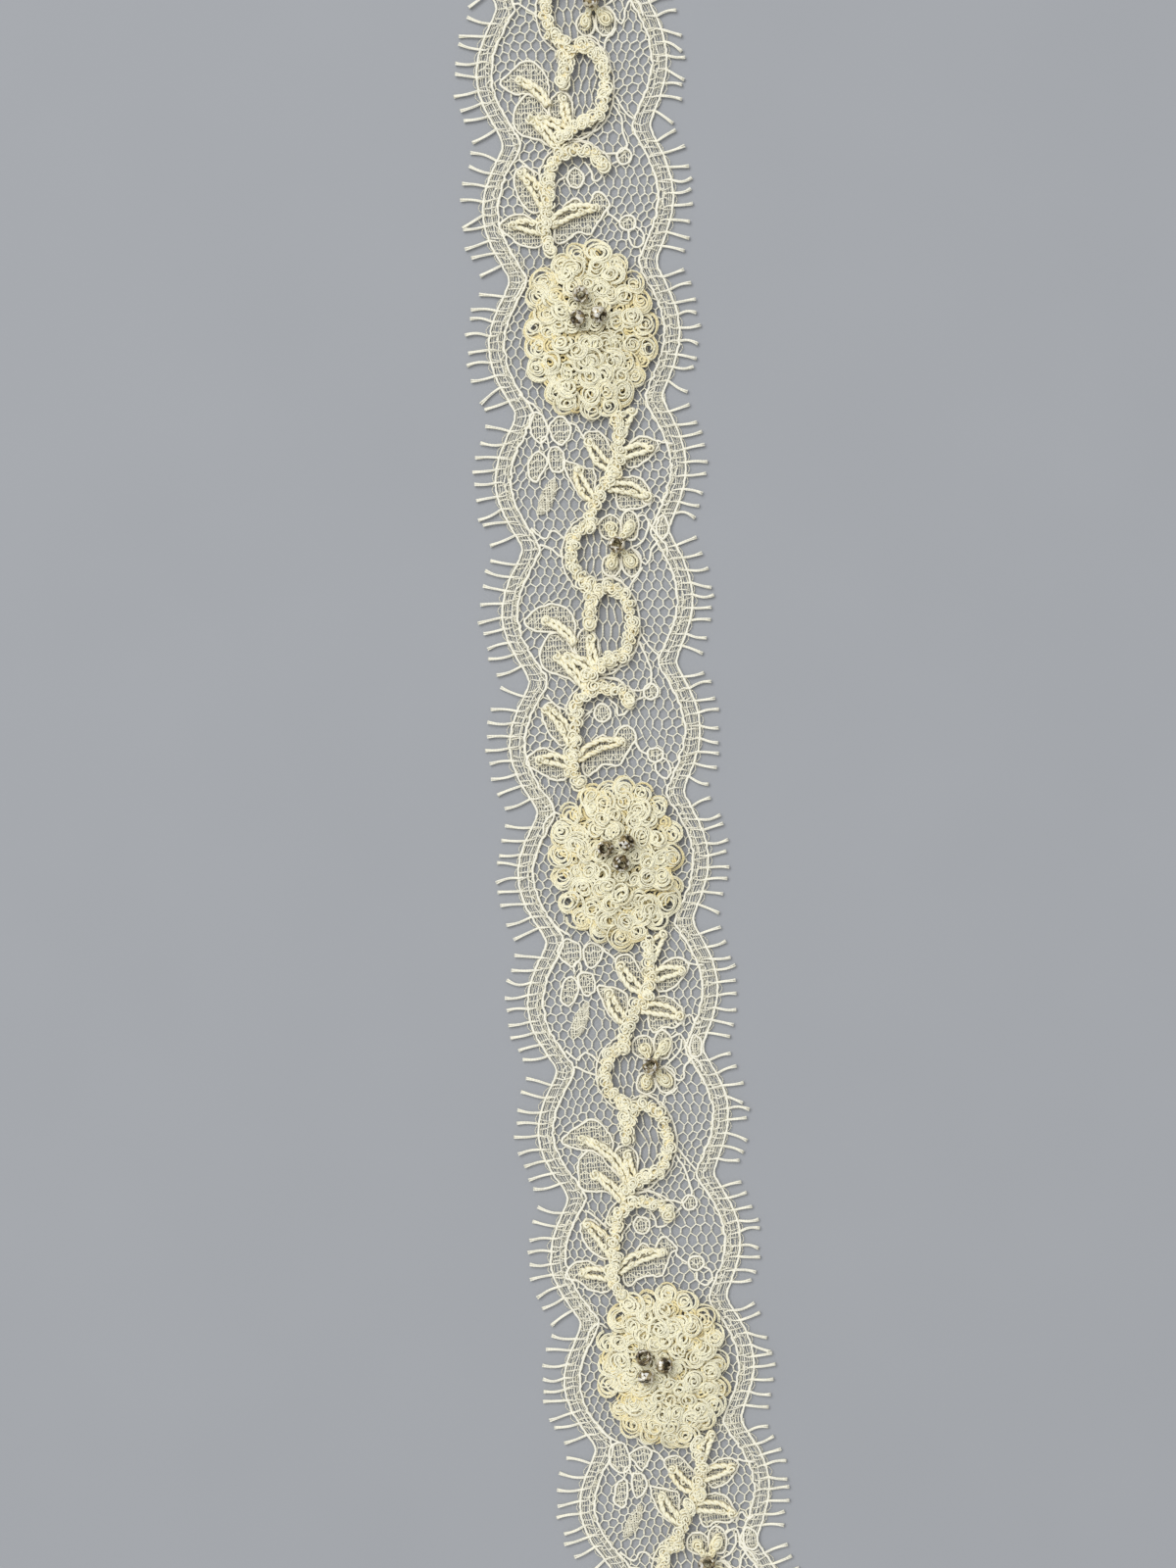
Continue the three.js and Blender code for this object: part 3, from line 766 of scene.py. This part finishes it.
def makeLace():
    rng = np.random.default_rng(seeds["lace"])
    bundle = []
    shapes = shapesOfTrim(rng)
    addNet(bundle, shapes, net, False, rng)
    addNet(bundle, shapes, windowNet, True, rng)
    for side in (leftSide, rightSide):
        addBorder(bundle, side, rng)
    for kind, around in shapes:
        addShape(bundle, kind, around, rng)
    addLinks(bundle, rng)
    lace = bundleMesh("lace", bundle, laceThread)
    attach(lace, "root")
    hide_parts("lace_band")
    return lace


lace = makeLace()
print("lace worked")

# The lashes: each crosses the border from its inner cord and stands out past the edge

lash = {
    "perScallop": 9,
    "spacing": 1.62,
    "extraAtNotch": 0.4,    # each side's own length is the one at the middle of a scallop
    "lean": math.radians(17),
    "sway": 6,              # degrees that its lean varies by
    "inside": [0.62, 0.3],  # where its inner end lies, in shares of the border's width
    "strands": 3,
    "strandRadius": 0.12,
    "apart": 0.096,
    "turn": 2.4,            # how far round each other its strands go
    "flare": 0.07,
    "height": 0.5,
    "bonded": 0.07,         # share of lashes that cling to the next one's tip
}
# From its inner end to its tip, how far the strands lie apart, how they open, and how thick they are
lashSpread = np.concatenate([[0.4, 0.5], np.linspace(0.9, 1.0, 7)])
lashFlare = np.array([0, 0, 0, 0, 0, 0, 0, 0.4, 1])
lashTaper = np.array([0.5, 0.55, 0.95, 1, 1, 1, 1, 1.08, 1.12])
whisker = {"inside": 0.15, "height": 0.42, "radius": 0.05, "shade": 0.1}


def lashPlaces(side):
    places = []
    peak = side["peak"] - 4 * trim["scallop"]
    while peak < trim["end"] + trim["scallop"] / 2:
        for i in range(lash["perScallop"]):
            s = peak + (i - (lash["perScallop"] - 1) / 2) * lash["spacing"]
            if trim["start"] + 0.4 < s < trim["end"] - 0.4:
                places.append((s, 2 * i / (lash["perScallop"] - 1) - 1))
        peak += trim["scallop"]
    return places


def addLash(bundle, side, s, fromPeak, rng):
    sign = side["sign"]
    reach = side["lash"] + lash["extraAtNotch"] * fromPeak ** 2 + rng.uniform(-0.3, 0.25)
    angle = lash["lean"] * fromPeak + math.radians(rng.gauss(0, lash["sway"]))
    if rng.random() < lash["bonded"]:
        angle += math.atan(lash["spacing"] * 0.8 / reach)
    swing = rng.gauss(0, 0.16)
    rootT = float(edgeAt(side, s)) - sign * border["inset"]
    inner = float(bandWidth(scallopWave(side, s)))
    share = np.linspace(0, 1, 7)
    outT = rootT + sign * reach * share * math.cos(angle)
    outS = s + reach * share * math.sin(angle) + swing * np.sin(np.pi * share)
    inT = [rootT - sign * inner * depth for depth in lash["inside"]]
    inS = [s + rng.uniform(-0.3, 0.3), s + rng.uniform(-0.12, 0.12)]
    centre = onTrim(np.concatenate([inT, outT]), np.concatenate([inS, outS]))
    height = np.concatenate([[0.5, 0.62], lash["height"] + 0.08 * np.sin(np.pi * share) + rng.gauss(0, 0.04)])
    beside = besideOf(centre)[0]
    spread = lash["apart"] * lashSpread
    flare = lash["flare"] * lashFlare
    turnStart = rng.uniform(0, fullTurn)
    for strand in range(lash["strands"]):
        turn = turnStart + 2 * np.pi * strand / lash["strands"] + np.linspace(0, lash["turn"], len(centre))
        aside = (spread + flare) * np.cos(turn)
        over = (spread + flare * 0.6) * np.sin(turn)
        points = np.column_stack([centre + beside * aside[:, None], height + over])
        addThread(bundle, points, lash["strandRadius"] * lashTaper, rng.uniform(0.55, 1))


# Between two lashes a fine thread bows a little way out from the edge
def addWhisker(bundle, side, s, rng):
    share = np.linspace(0, 1, 5)
    along = s + share * lash["spacing"]
    bow = rng.uniform(0.3, 0.6) * np.sin(np.pi * share)
    t = edgeAt(side, along) + side["sign"] * (bow - whisker["inside"])
    addThread(bundle, lifted(onTrim(t, along), whisker["height"]), whisker["radius"], whisker["shade"], 3)


def makeLashes(name, side, seed, replaced):
    rng = random.Random(seed)
    bundle = []
    for s, fromPeak in lashPlaces(side):
        addLash(bundle, side, s + rng.uniform(-0.14, 0.14), fromPeak, rng)
        if fromPeak < 0.9 and s + lash["spacing"] < trim["end"]:
            addWhisker(bundle, side, s, rng)
    made = bundleMesh(name, bundle, laceThread)
    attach(made, "root")
    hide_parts(replaced)
    return made


lashPieces = [
    makeLashes("lashes_left", leftSide, seeds["leftLashes"], "lash_fringe_left"),
    makeLashes("lashes_right", rightSide, seeds["rightLashes"], "lash_fringe_right"),
]
print("lashes worked")

# The raised cords: thick vine cords under curls, and leaves of thinner cord

raised = {
    "base": 0.78,           # where the cords lie on the lace
    "ropeHeight": 0.5,      # the middle of the vine's rope, over that
    "curlRadius": 0.95,
    "curlPitch": 0.58,
    "aside": 0.28,          # from the vine's middle to the middle of a curl
    "swellTurn": 1.05,      # the cord swells into a knot at every third curl
    "looseShare": 0.45,     # share of the curls with a loose loop over them
    "leafGap": 0.17,        # from the middle of a leaf to the cord on each side, at its ends
    "loopHalf": 0.42,       # how much further out the cord is halfway along
    "clusterHalf": 0.2,
    "leafHeight": 0.42,
    "leafPitch": 1.3,       # between the curls on a leaf
    "vineKnot": 1.15,
    "leafKnot": 0.85,
}
vineRope = {"strands": 3, "radius": 0.29, "apart": 0.25, "turn": 2.6}
leafRope = {"strands": 2, "radius": 0.24, "apart": 0.16, "turn": 1.7}
# How curls are wound along the vine, loose over it, in the knot at a cord's end, and on a leaf
vineCurl = {"cord": 0.16, "rise": 0.2, "sides": 4, "loose": 2.1}
looseCurl = {"cord": 0.12, "rise": 0.1, "inner": 0.35, "perTurn": 11, "sides": 4, "loose": 3.4}
knotCurl = {"cord": 0.17, "inner": 0.1, "perTurn": 10}
leafCurl = {"cord": 0.15, "rise": 0.15, "perTurn": 10}


# A vine cord: a rope under small curls, left and right of the middle in turn
def addVineCord(bundle, path, rng):
    # The rope gets shade 0, painted shade for a cord lying under the curls
    addTwisted(bundle, rng, path, 0, raised["base"] + raised["ropeHeight"], vineRope, 0)
    places = spaced(path, raised["curlPitch"])
    beside, headings = besideOf(places)
    firstSwell = rng.uniform(0, halfTurn)
    for i, (place, aside, heading) in enumerate(zip(places, beside, headings)):
        x, y = place + aside * (raised["aside"] * (-1) ** i * rng.uniform(0.6, 1.3))
        swell = abs(math.sin(firstSwell + raised["swellTurn"] * i))
        addCurl(bundle, rng, (x, y, raised["base"] + rng.uniform(0.55, 0.8) + 0.25 * swell),
                raised["curlRadius"] * (0.76 + 0.38 * swell) * rng.uniform(0.9, 1.1),
                tip=rng.uniform(0.1, 0.6), tipTo=heading + rng.gauss(0, 1.2), oval=rng.uniform(0.66, 1),
                lean=rng.uniform(0, halfTurn), inner=rng.choice((0.03, 0.1, 0.2, 0.35)),
                shade=rng.uniform(0.2, 1), **vineCurl)
        if rng.random() < raised["looseShare"]:
            addCurl(bundle, rng, (x + rng.gauss(0, 0.25), y + rng.gauss(0, 0.25), raised["base"] + 1.2),
                    rng.uniform(0.5, 0.8), tip=rng.uniform(0.1, 0.5), tipTo=rng.uniform(0, fullTurn),
                    oval=rng.uniform(0.55, 0.9), lean=rng.uniform(0, halfTurn), shade=rng.uniform(0.5, 1),
                    **looseCurl)
    addKnot(bundle, path[-1], raised["vineKnot"], rng)


# A cord ends in a knot, two curls one on the other
def addKnot(bundle, place, size, rng):
    for share, height in ((1, 0.6), (0.7, 0.92)):
        x, y = place + np.array([rng.uniform(-0.12, 0.12), rng.uniform(-0.12, 0.12)])
        addCurl(bundle, rng, (x, y, raised["base"] + height), size * share, tip=rng.uniform(0, 0.3),
                tipTo=rng.uniform(0, fullTurn), shade=rng.uniform(0.5, 1), **knotCurl)


# A leaf's cord goes out and back in a long narrow loop, of two strands twisted, with a knot at the tip
def addLeafCord(bundle, path, half, rng):
    distance = distanceAlong(path)
    share = distance / distance[-1]
    beside, headings = besideOf(path)
    for side in (-1, 1):
        swell = half * rng.uniform(0.8, 1.15) * np.sin(np.pi * share ** 0.9) ** 0.8
        aside = side * (raised["leafGap"] + swell)
        aside = aside + 0.05 * np.sin(distance * 3 + rng.uniform(0, fullTurn))
        height = raised["base"] + raised["leafHeight"] + 0.1 * np.sin(np.pi * share)
        addTwisted(bundle, rng, path, aside, height, leafRope, rng.uniform(0.45, 0.9), 5)
    for at in np.arange(0.7, distance[-1] - 0.9, raised["leafPitch"]):
        i = int(np.searchsorted(distance, at + rng.uniform(-0.2, 0.2)))
        x, y = path[i] + beside[i] * rng.choice((-0.3, 0.3))
        if rng.random() < 0.6:
            addCurl(bundle, rng, (x, y, raised["base"] + 0.8), rng.uniform(0.55, 0.75),
                    tip=rng.uniform(0, 0.4), tipTo=headings[i], oval=rng.uniform(0.5, 0.7),
                    lean=headings[i] + rng.gauss(0, 0.3), shade=rng.uniform(0.4, 1), **leafCurl)
    addKnot(bundle, path[-1], raised["leafKnot"], rng)


def makeRaised(name, vinePaths, leafPaths, seed, replaced):
    rng = random.Random(seed)
    bundle = []
    for path in vinePaths:
        addVineCord(bundle, path, rng)
    for path, half in leafPaths:
        addLeafCord(bundle, path, half, rng)
    made = bundleMesh(name, bundle, raisedThread)
    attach(made, "root")
    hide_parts(replaced)
    return made


def bowedPaths(rows, start):
    return [bowedPath(row, start) for row in rows]


def leafLoops(rows, start, half):
    return [(path, half) for path in bowedPaths(rows, start)]


def makeVine(number, start, isLast):
    vinePaths = bowedPaths(stemCords, start) + [scrollPath(upperScroll, start, cordStep)]
    leafPaths = leafLoops(stemLeaves, start, raised["loopHalf"])
    if not isLast:
        vinePaths += bowedPaths(clusterCords, start) + [scrollPath(lowerScroll, start, cordStep)]
        cluster = clusterLeaves + (longLeaf if number == 2 else brokenLeaf)
        leafPaths += leafLoops(cluster, start, raised["clusterHalf"])
    seed = seeds["vines"] + number
    return makeRaised(f"raised_vine_{number}", vinePaths, leafPaths, seed, f"vine_{number}")


def makeArch(number, start):
    vinePaths = [scrollPath(archScroll, start, cordStep)] + bowedPaths(archCords, start)
    leafPaths = leafLoops(archLeaves, start, raised["loopHalf"])
    seed = seeds["arches"] + number
    return makeRaised(f"raised_arch_{number}", vinePaths, leafPaths, seed, f"arch_spray_{number}")


for repeat in repeats:
    start = repeat * trim["repeat"]
    isLast = repeat == repeats[-1]
    makeVine(repeat + 1, start, isLast)
    if not isLast:
        makeArch(repeat + 1, start)
print("raised cords worked")

# Flowers: rows of curls stepped up to the middle, over an underlay of flatter ones

flowerRows = [
    {"radiusT": 7.15, "radiusS": 9.6, "curls": 19, "height": 1.6, "size": 1.78},
    {"radiusT": 5.5, "radiusS": 7.8, "curls": 17, "height": 2.2, "size": 1.7},
    {"radiusT": 3.8, "radiusS": 5.9, "curls": 13, "height": 2.7, "size": 1.62},
    {"radiusT": 2.2, "radiusS": 4.0, "curls": 9, "height": 3.1, "size": 1.5},
    {"radiusT": 0.7, "radiusS": 1.9, "curls": 5, "height": 3.4, "size": 1.36},
]
# A flower's curl is paired cord, with an arc of it round the outer side and a loose loop over it
flower = {"cord": 0.19, "tip": 0.38, "arcDown": 0.12, "loopUp": 0.22}
flowerCurl = {"rise": 0.2, "perTurn": 16, "sides": 4, "loose": 2.2, "paired": True}
outerArc = {"cord": flower["cord"], "rise": 0.1, "perTurn": 16, "sides": 4, "loose": 2.2, "paired": True}
looseLoop = {"cord": 0.12, "rise": 0.1, "perTurn": 14, "sides": 4, "loose": 4.2}
underlay = {"curls": 64, "radiusT": 7.1, "radiusS": 9.7, "base": 1.2, "dome": 1.45}
underCurl = {"cord": 0.2, "rise": 0.15, "inner": 0.12, "perTurn": 9, "sides": 4, "loose": 2}


# Under them the dome is packed with flat curls of thicker cord, spread like seeds in a seed head
def addUnderlay(bundle, start, rng):
    for i in range(underlay["curls"]):
        share = math.sqrt((i + 0.5) / underlay["curls"])
        angle = i * math.pi * (3 - math.sqrt(5))
        t = flowerCentre[0] + underlay["radiusT"] * share * math.cos(angle)
        s = flowerCentre[1] + start + underlay["radiusS"] * share * math.sin(angle)
        x, y = onTrim(t, s)
        z = underlay["base"] + underlay["dome"] * (1 - share ** 2) + rng.uniform(-0.1, 0.2)
        # Their low shade is painted shade, for curls lying deep in the cavities under the others
        addCurl(bundle, rng, (x, y, z), rng.uniform(1.2, 1.6), tip=rng.uniform(-0.2, 0.3), tipTo=-angle,
                shade=rng.uniform(-0.4, 0.15), **underCurl)


def addFlowerCurl(bundle, row, angle, start, rng):
    t = flowerCentre[0] + row["radiusT"] * math.cos(angle) + rng.gauss(0, 0.2)
    s = flowerCentre[1] + start + row["radiusS"] * math.sin(angle) + rng.gauss(0, 0.22)
    x, y = onTrim(t, s)
    outward = math.atan2(-math.sin(angle) * row["radiusS"], math.cos(angle) * row["radiusT"])
    height = row["height"] + rng.uniform(-0.12, 0.18)
    size = row["size"] * rng.uniform(0.84, 1.08)
    tip = flower["tip"] + rng.gauss(0, 0.12)
    tipTo = outward + rng.gauss(0, 0.6)
    shade = rng.uniform(0.2, 1)
    addCurl(bundle, rng, (x, y, height), size, cord=flower["cord"] * rng.uniform(0.9, 1.15), tip=tip,
            tipTo=tipTo, oval=rng.uniform(0.82, 1), lean=rng.uniform(0, halfTurn),
            inner=rng.choice((0.03, 0.08, 0.15, 0.25, 0.36)), shade=shade,
            drift=rng.uniform(0.08, 0.36), **flowerCurl)
    addCurl(bundle, rng, (x, y, height - flower["arcDown"]), size * rng.uniform(1.02, 1.14), tip=tip,
            tipTo=tipTo, inner=rng.uniform(0.8, 0.88), shade=rng.uniform(0.1, 0.9),
            middle=outward + rng.gauss(0, 0.5), **outerArc)
    addCurl(bundle, rng, (x + rng.gauss(0, 0.22), y + rng.gauss(0, 0.22), height + flower["loopUp"]),
            size * rng.uniform(0.6, 0.9), tip=tip, tipTo=tipTo, oval=rng.uniform(0.6, 1),
            lean=rng.uniform(0, halfTurn), inner=rng.uniform(0.2, 0.5), shade=min(1, shade + 0.2),
            **looseLoop)


def makeFlower(number, start):
    rng = random.Random(seeds["flowers"] + number)
    bundle = []
    addUnderlay(bundle, start, rng)
    for row in flowerRows:
        firstAngle = rng.uniform(0, fullTurn)
        for i in range(row["curls"]):
            angle = firstAngle + 2 * math.pi * (i + rng.uniform(-0.2, 0.2)) / row["curls"]
            addFlowerCurl(bundle, row, angle, start, rng)
    made = bundleMesh(f"curled_flower_{number}", bundle, curledThread)
    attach(made, "root")
    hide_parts(f"flower_{number}")
    return made


flowers = [makeFlower(number, (number - 1) * trim["repeat"]) for number in (1, 2, 3)]
print("flowers worked")

# Small blossoms: four wound petals round a stitched heart

blossomCentre = (2.1, 27.3)
petals = [
    {"t": 1.4, "s": 25.0, "halfWidth": 1.0, "halfLength": 1.15},
    {"t": 3.8, "s": 25.1, "halfWidth": 0.9, "halfLength": 1.45},
    {"t": 3.7, "s": 29.4, "halfWidth": 1.0, "halfLength": 1.3},
    {"t": 1.4, "s": 29.6, "halfWidth": 0.95, "halfLength": 1.2},
]
petalLevels = [(1.25, 1), (1.6, 0.72), (1.85, 0.45)]    # the height of each curl, and its share of the petal
petalCurl = {"cord": 0.15, "inner": 0.15}
# A thick thread runs from the heart into each petal, with small curls over it
neck = {"radius": 0.28, "height": 1.3, "shade": 0.3, "cord": 0.14}
heart = {"curls": 6, "height": 1.25, "step": 0.19, "narrowing": 0.07, "cord": 0.16, "tip": 0.12}


def addPetal(bundle, row, centre, start, rng):
    place = onTrim(row["t"], row["s"] + start)
    outward = math.atan2(place[1] - centre[1], place[0] - centre[0])
    for level, size in petalLevels:
        x, y = place + np.array([rng.uniform(-0.15, 0.15), rng.uniform(-0.15, 0.15)])
        addCurl(bundle, rng, (x, y, level), row["halfLength"] * size, tip=rng.gauss(0, 0.2),
                tipTo=rng.uniform(0, fullTurn), oval=row["halfWidth"] / row["halfLength"], lean=outward,
                shade=rng.uniform(0.4, 1), **petalCurl)
    path = np.stack([centre + (place - centre) * share for share in (0.1, 0.4, 0.7)])
    addThread(bundle, lifted(path, neck["height"]), neck["radius"], neck["shade"], 6)
    for share in (0.3, 0.48, 0.66):
        x, y = centre + (place - centre) * (share + rng.uniform(-0.05, 0.05))
        addCurl(bundle, rng, (x, y, 1.45 + rng.uniform(0, 0.2)), rng.uniform(0.6, 0.8), cord=neck["cord"],
                tip=rng.gauss(0, 0.3), tipTo=rng.uniform(0, fullTurn), oval=rng.uniform(0.6, 0.9),
                lean=outward, shade=rng.uniform(0.3, 1))


def makeBlossom(number, start):
    rng = random.Random(seeds["blossoms"] + number)
    bundle = []
    centre = onTrim(blossomCentre[0], blossomCentre[1] + start)
    for row in petals:
        addPetal(bundle, row, centre, start, rng)
    for level in range(heart["curls"]):
        x, y = centre + np.array([rng.gauss(0, 0.1), rng.gauss(0, 0.1)])
        addCurl(bundle, rng, (x, y, heart["height"] + heart["step"] * level), 1 - heart["narrowing"] * level,
                cord=heart["cord"], tip=heart["tip"], tipTo=rng.uniform(0, fullTurn),
                shade=rng.uniform(0.2, 0.7))
    made = bundleMesh(f"wound_blossom_{number}", bundle, curledThread)
    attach(made, "root")
    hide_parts(f"blossom_{number}")
    return made


blossoms = [makeBlossom(repeat + 1, repeat * trim["repeat"]) for repeat in repeats]
print("blossoms worked")

# Seed beads: silver-lined glass rings

bead = {
    "ringRadius": 0.74,
    "wall": 0.34,
    "tall": 2.1,            # how much the ring is stretched along its hole
    "lining": 0.12,         # how far inside the ring's middle line the silver starts
    "around": 32,
    "aroundWall": 16,
}
# How far each bead's hole leans from upright, and which way it leans, in degrees
beadTurns = {
    "flower_1_bead_1": (28, -80), "flower_1_bead_2": (66, 200), "flower_1_bead_3": (60, -30),
    "flower_2_bead_1": (30, 190), "flower_2_bead_2": (62, 40), "flower_2_bead_3": (34, -60),
    "flower_3_bead_1": (26, 120), "flower_3_bead_2": (64, -100), "flower_3_bead_3": (36, 10),
    "blossom_bead_0": (30, 60), "blossom_bead_1": (26, 60), "blossom_bead_2": (34, 100),
    "blossom_bead_3": (30, 60),
}


# The silver lining shows through the glass in small facets, each with its own tone and its own tilt. The
# tones are painted reflections: the pale and white facets are painted glints, and the dark ones painted dark
# reflection.
def beadFinish(name, tones, roughness, metallic, coat, scale, tilt):
    made, tree, place = newFinish(name)
    facets = addNode(tree, "TexVoronoi", {"Vector": place, "Scale": scale}).outputs["Color"]
    amount = addNode(tree, "SeparateXYZ", {0: facets}).outputs["X"]
    tone = addTones(tree, amount, [(i / (len(tones) - 1), tone) for i, tone in enumerate(tones)])

    facing = addNode(tree, "NewGeometry").outputs["Normal"]
    turn = {0: facets, 1: (tilt, tilt, tilt), 2: facing}
    turned = addNode(tree, "VectorMath", turn, operation="MULTIPLY_ADD").outputs["Vector"]
    shift = {0: turned, 1: (tilt / 2, tilt / 2, tilt / 2)}
    level = addNode(tree, "VectorMath", shift, operation="SUBTRACT").outputs["Vector"]
    unit = addNode(tree, "VectorMath", {0: level}, operation="NORMALIZE").outputs["Vector"]
    fillInputs(tree, tree.nodes["Principled BSDF"], {
        "Base Color": tone, "Normal": unit, "Roughness": roughness, "Metallic": metallic,
        "Coat Weight": coat, "Coat Roughness": 0.03,
    })
    return made


# Painted glints and reflections of the lining, in facets from dark brown to white
smokyGlassPaintedGlints = beadFinish(
    "smoky glass painted glints",
    tones=[colour(48, 36, 14), colour(98, 81, 44), colour(158, 140, 96), colour(236, 229, 208),
           colour(254, 252, 244)],
    roughness=0.14, metallic=0.15, coat=0.5, scale=2700, tilt=1.0,
)
# Inside the hole: the dark tones are painted shade in the hole, and the pale tone is a painted glint
silverLiningShadeAndGlints = beadFinish(
    "silver lining painted shade and glints",
    tones=[colour(30, 23, 12), colour(74, 60, 34), colour(204, 194, 162)],
    roughness=0.3, metallic=0.3, coat=0.3, scale=2900, tilt=0.6,
)


def makeBeadModel():
    bpy.ops.object.select_all(action="DESELECT")
    bpy.ops.mesh.primitive_torus_add(
        major_radius=bead["ringRadius"] * mm, minor_radius=bead["wall"] * mm,
        major_segments=bead["around"], minor_segments=bead["aroundWall"])
    model = bpy.context.object
    bpy.ops.object.mode_set(mode="EDIT")
    bpy.ops.mesh.select_all(action="SELECT")
    bpy.ops.transform.resize(value=(1, 1, bead["tall"]), center_override=(0, 0, 0))
    bpy.ops.mesh.faces_shade_smooth()
    bpy.ops.object.mode_set(mode="OBJECT")
    model.data.materials.append(smokyGlassPaintedGlints)
    model.data.materials.append(silverLiningShadeAndGlints)
    for face in model.data.polygons:
        isInner = Vector((face.center.x, face.center.y)).length < (bead["ringRadius"] - bead["lining"]) * mm
        face.material_index = 1 if isInner else 0
    return model


def makeBeads():
    model = makeBeadModel()
    made = []
    for node, (tilt, turn) in beadTurns.items():
        low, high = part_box(node)
        copy = model.copy()
        copy.data = model.data.copy()
        copy.name = "seed_" + node
        scene.collection.objects.link(copy)
        bpy.ops.object.select_all(action="DESELECT")
        copy.select_set(True)
        bpy.context.view_layer.objects.active = copy
        copy.rotation_euler = (0, math.radians(tilt), math.radians(turn))
        copy.location = (Vector(low) + Vector(high)) / 2
        bpy.ops.object.transform_apply(location=True, rotation=True, scale=True)
        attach(copy, "root")
        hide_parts(node)
        made.append(copy)
    bpy.data.objects.remove(model)
    return made


beads = makeBeads()
print("beads sewn on")


# The floor and the light, in metres and watts

floorSize = 24
grainScale = 40
keyLamp = {"place": (-0.62, 0.6, 1.9), "size": 1.3, "power": 28.5}
roomLight = {"colour": (1, 1, 1, 1), "strength": 0.45}


def makeFloor():
    bpy.ops.object.select_all(action="DESELECT")
    bpy.ops.mesh.primitive_plane_add(size=floorSize)
    floor = bpy.context.object
    floor.name = "floor"
    made, tree, place = newFinish("pale grey floor")
    grain = addNode(tree, "TexNoise", {"Vector": place, "Scale": grainScale}).outputs["Fac"]
    tone = addTones(tree, grain, [(0, colour(164, 167, 172)), (1, colour(168, 171, 176))])
    fillInputs(tree, tree.nodes["Principled BSDF"], {
        "Base Color": tone, "Roughness": 0.9, "Specular IOR Level": 0.1,
    })
    floor.data.materials.append(made)


def makeLamp(name, place, size, power):
    data = bpy.data.lights.new(name, "AREA")
    data.size = size
    data.energy = power
    lamp = bpy.data.objects.new(name, data)
    lamp.location = place
    lamp.rotation_euler = (-Vector(place)).to_track_quat("-Z", "Y").to_euler()
    scene.collection.objects.link(lamp)


makeFloor()
makeLamp("key lamp", **keyLamp)
world = bpy.data.worlds.new("soft room")
world.use_nodes = True
world.node_tree.nodes["Background"].inputs["Color"].default_value = roomLight["colour"]
world.node_tree.nodes["Background"].inputs["Strength"].default_value = roomLight["strength"]
scene.world = world
scene.view_settings.view_transform = "Standard"
print("floor and light placed")
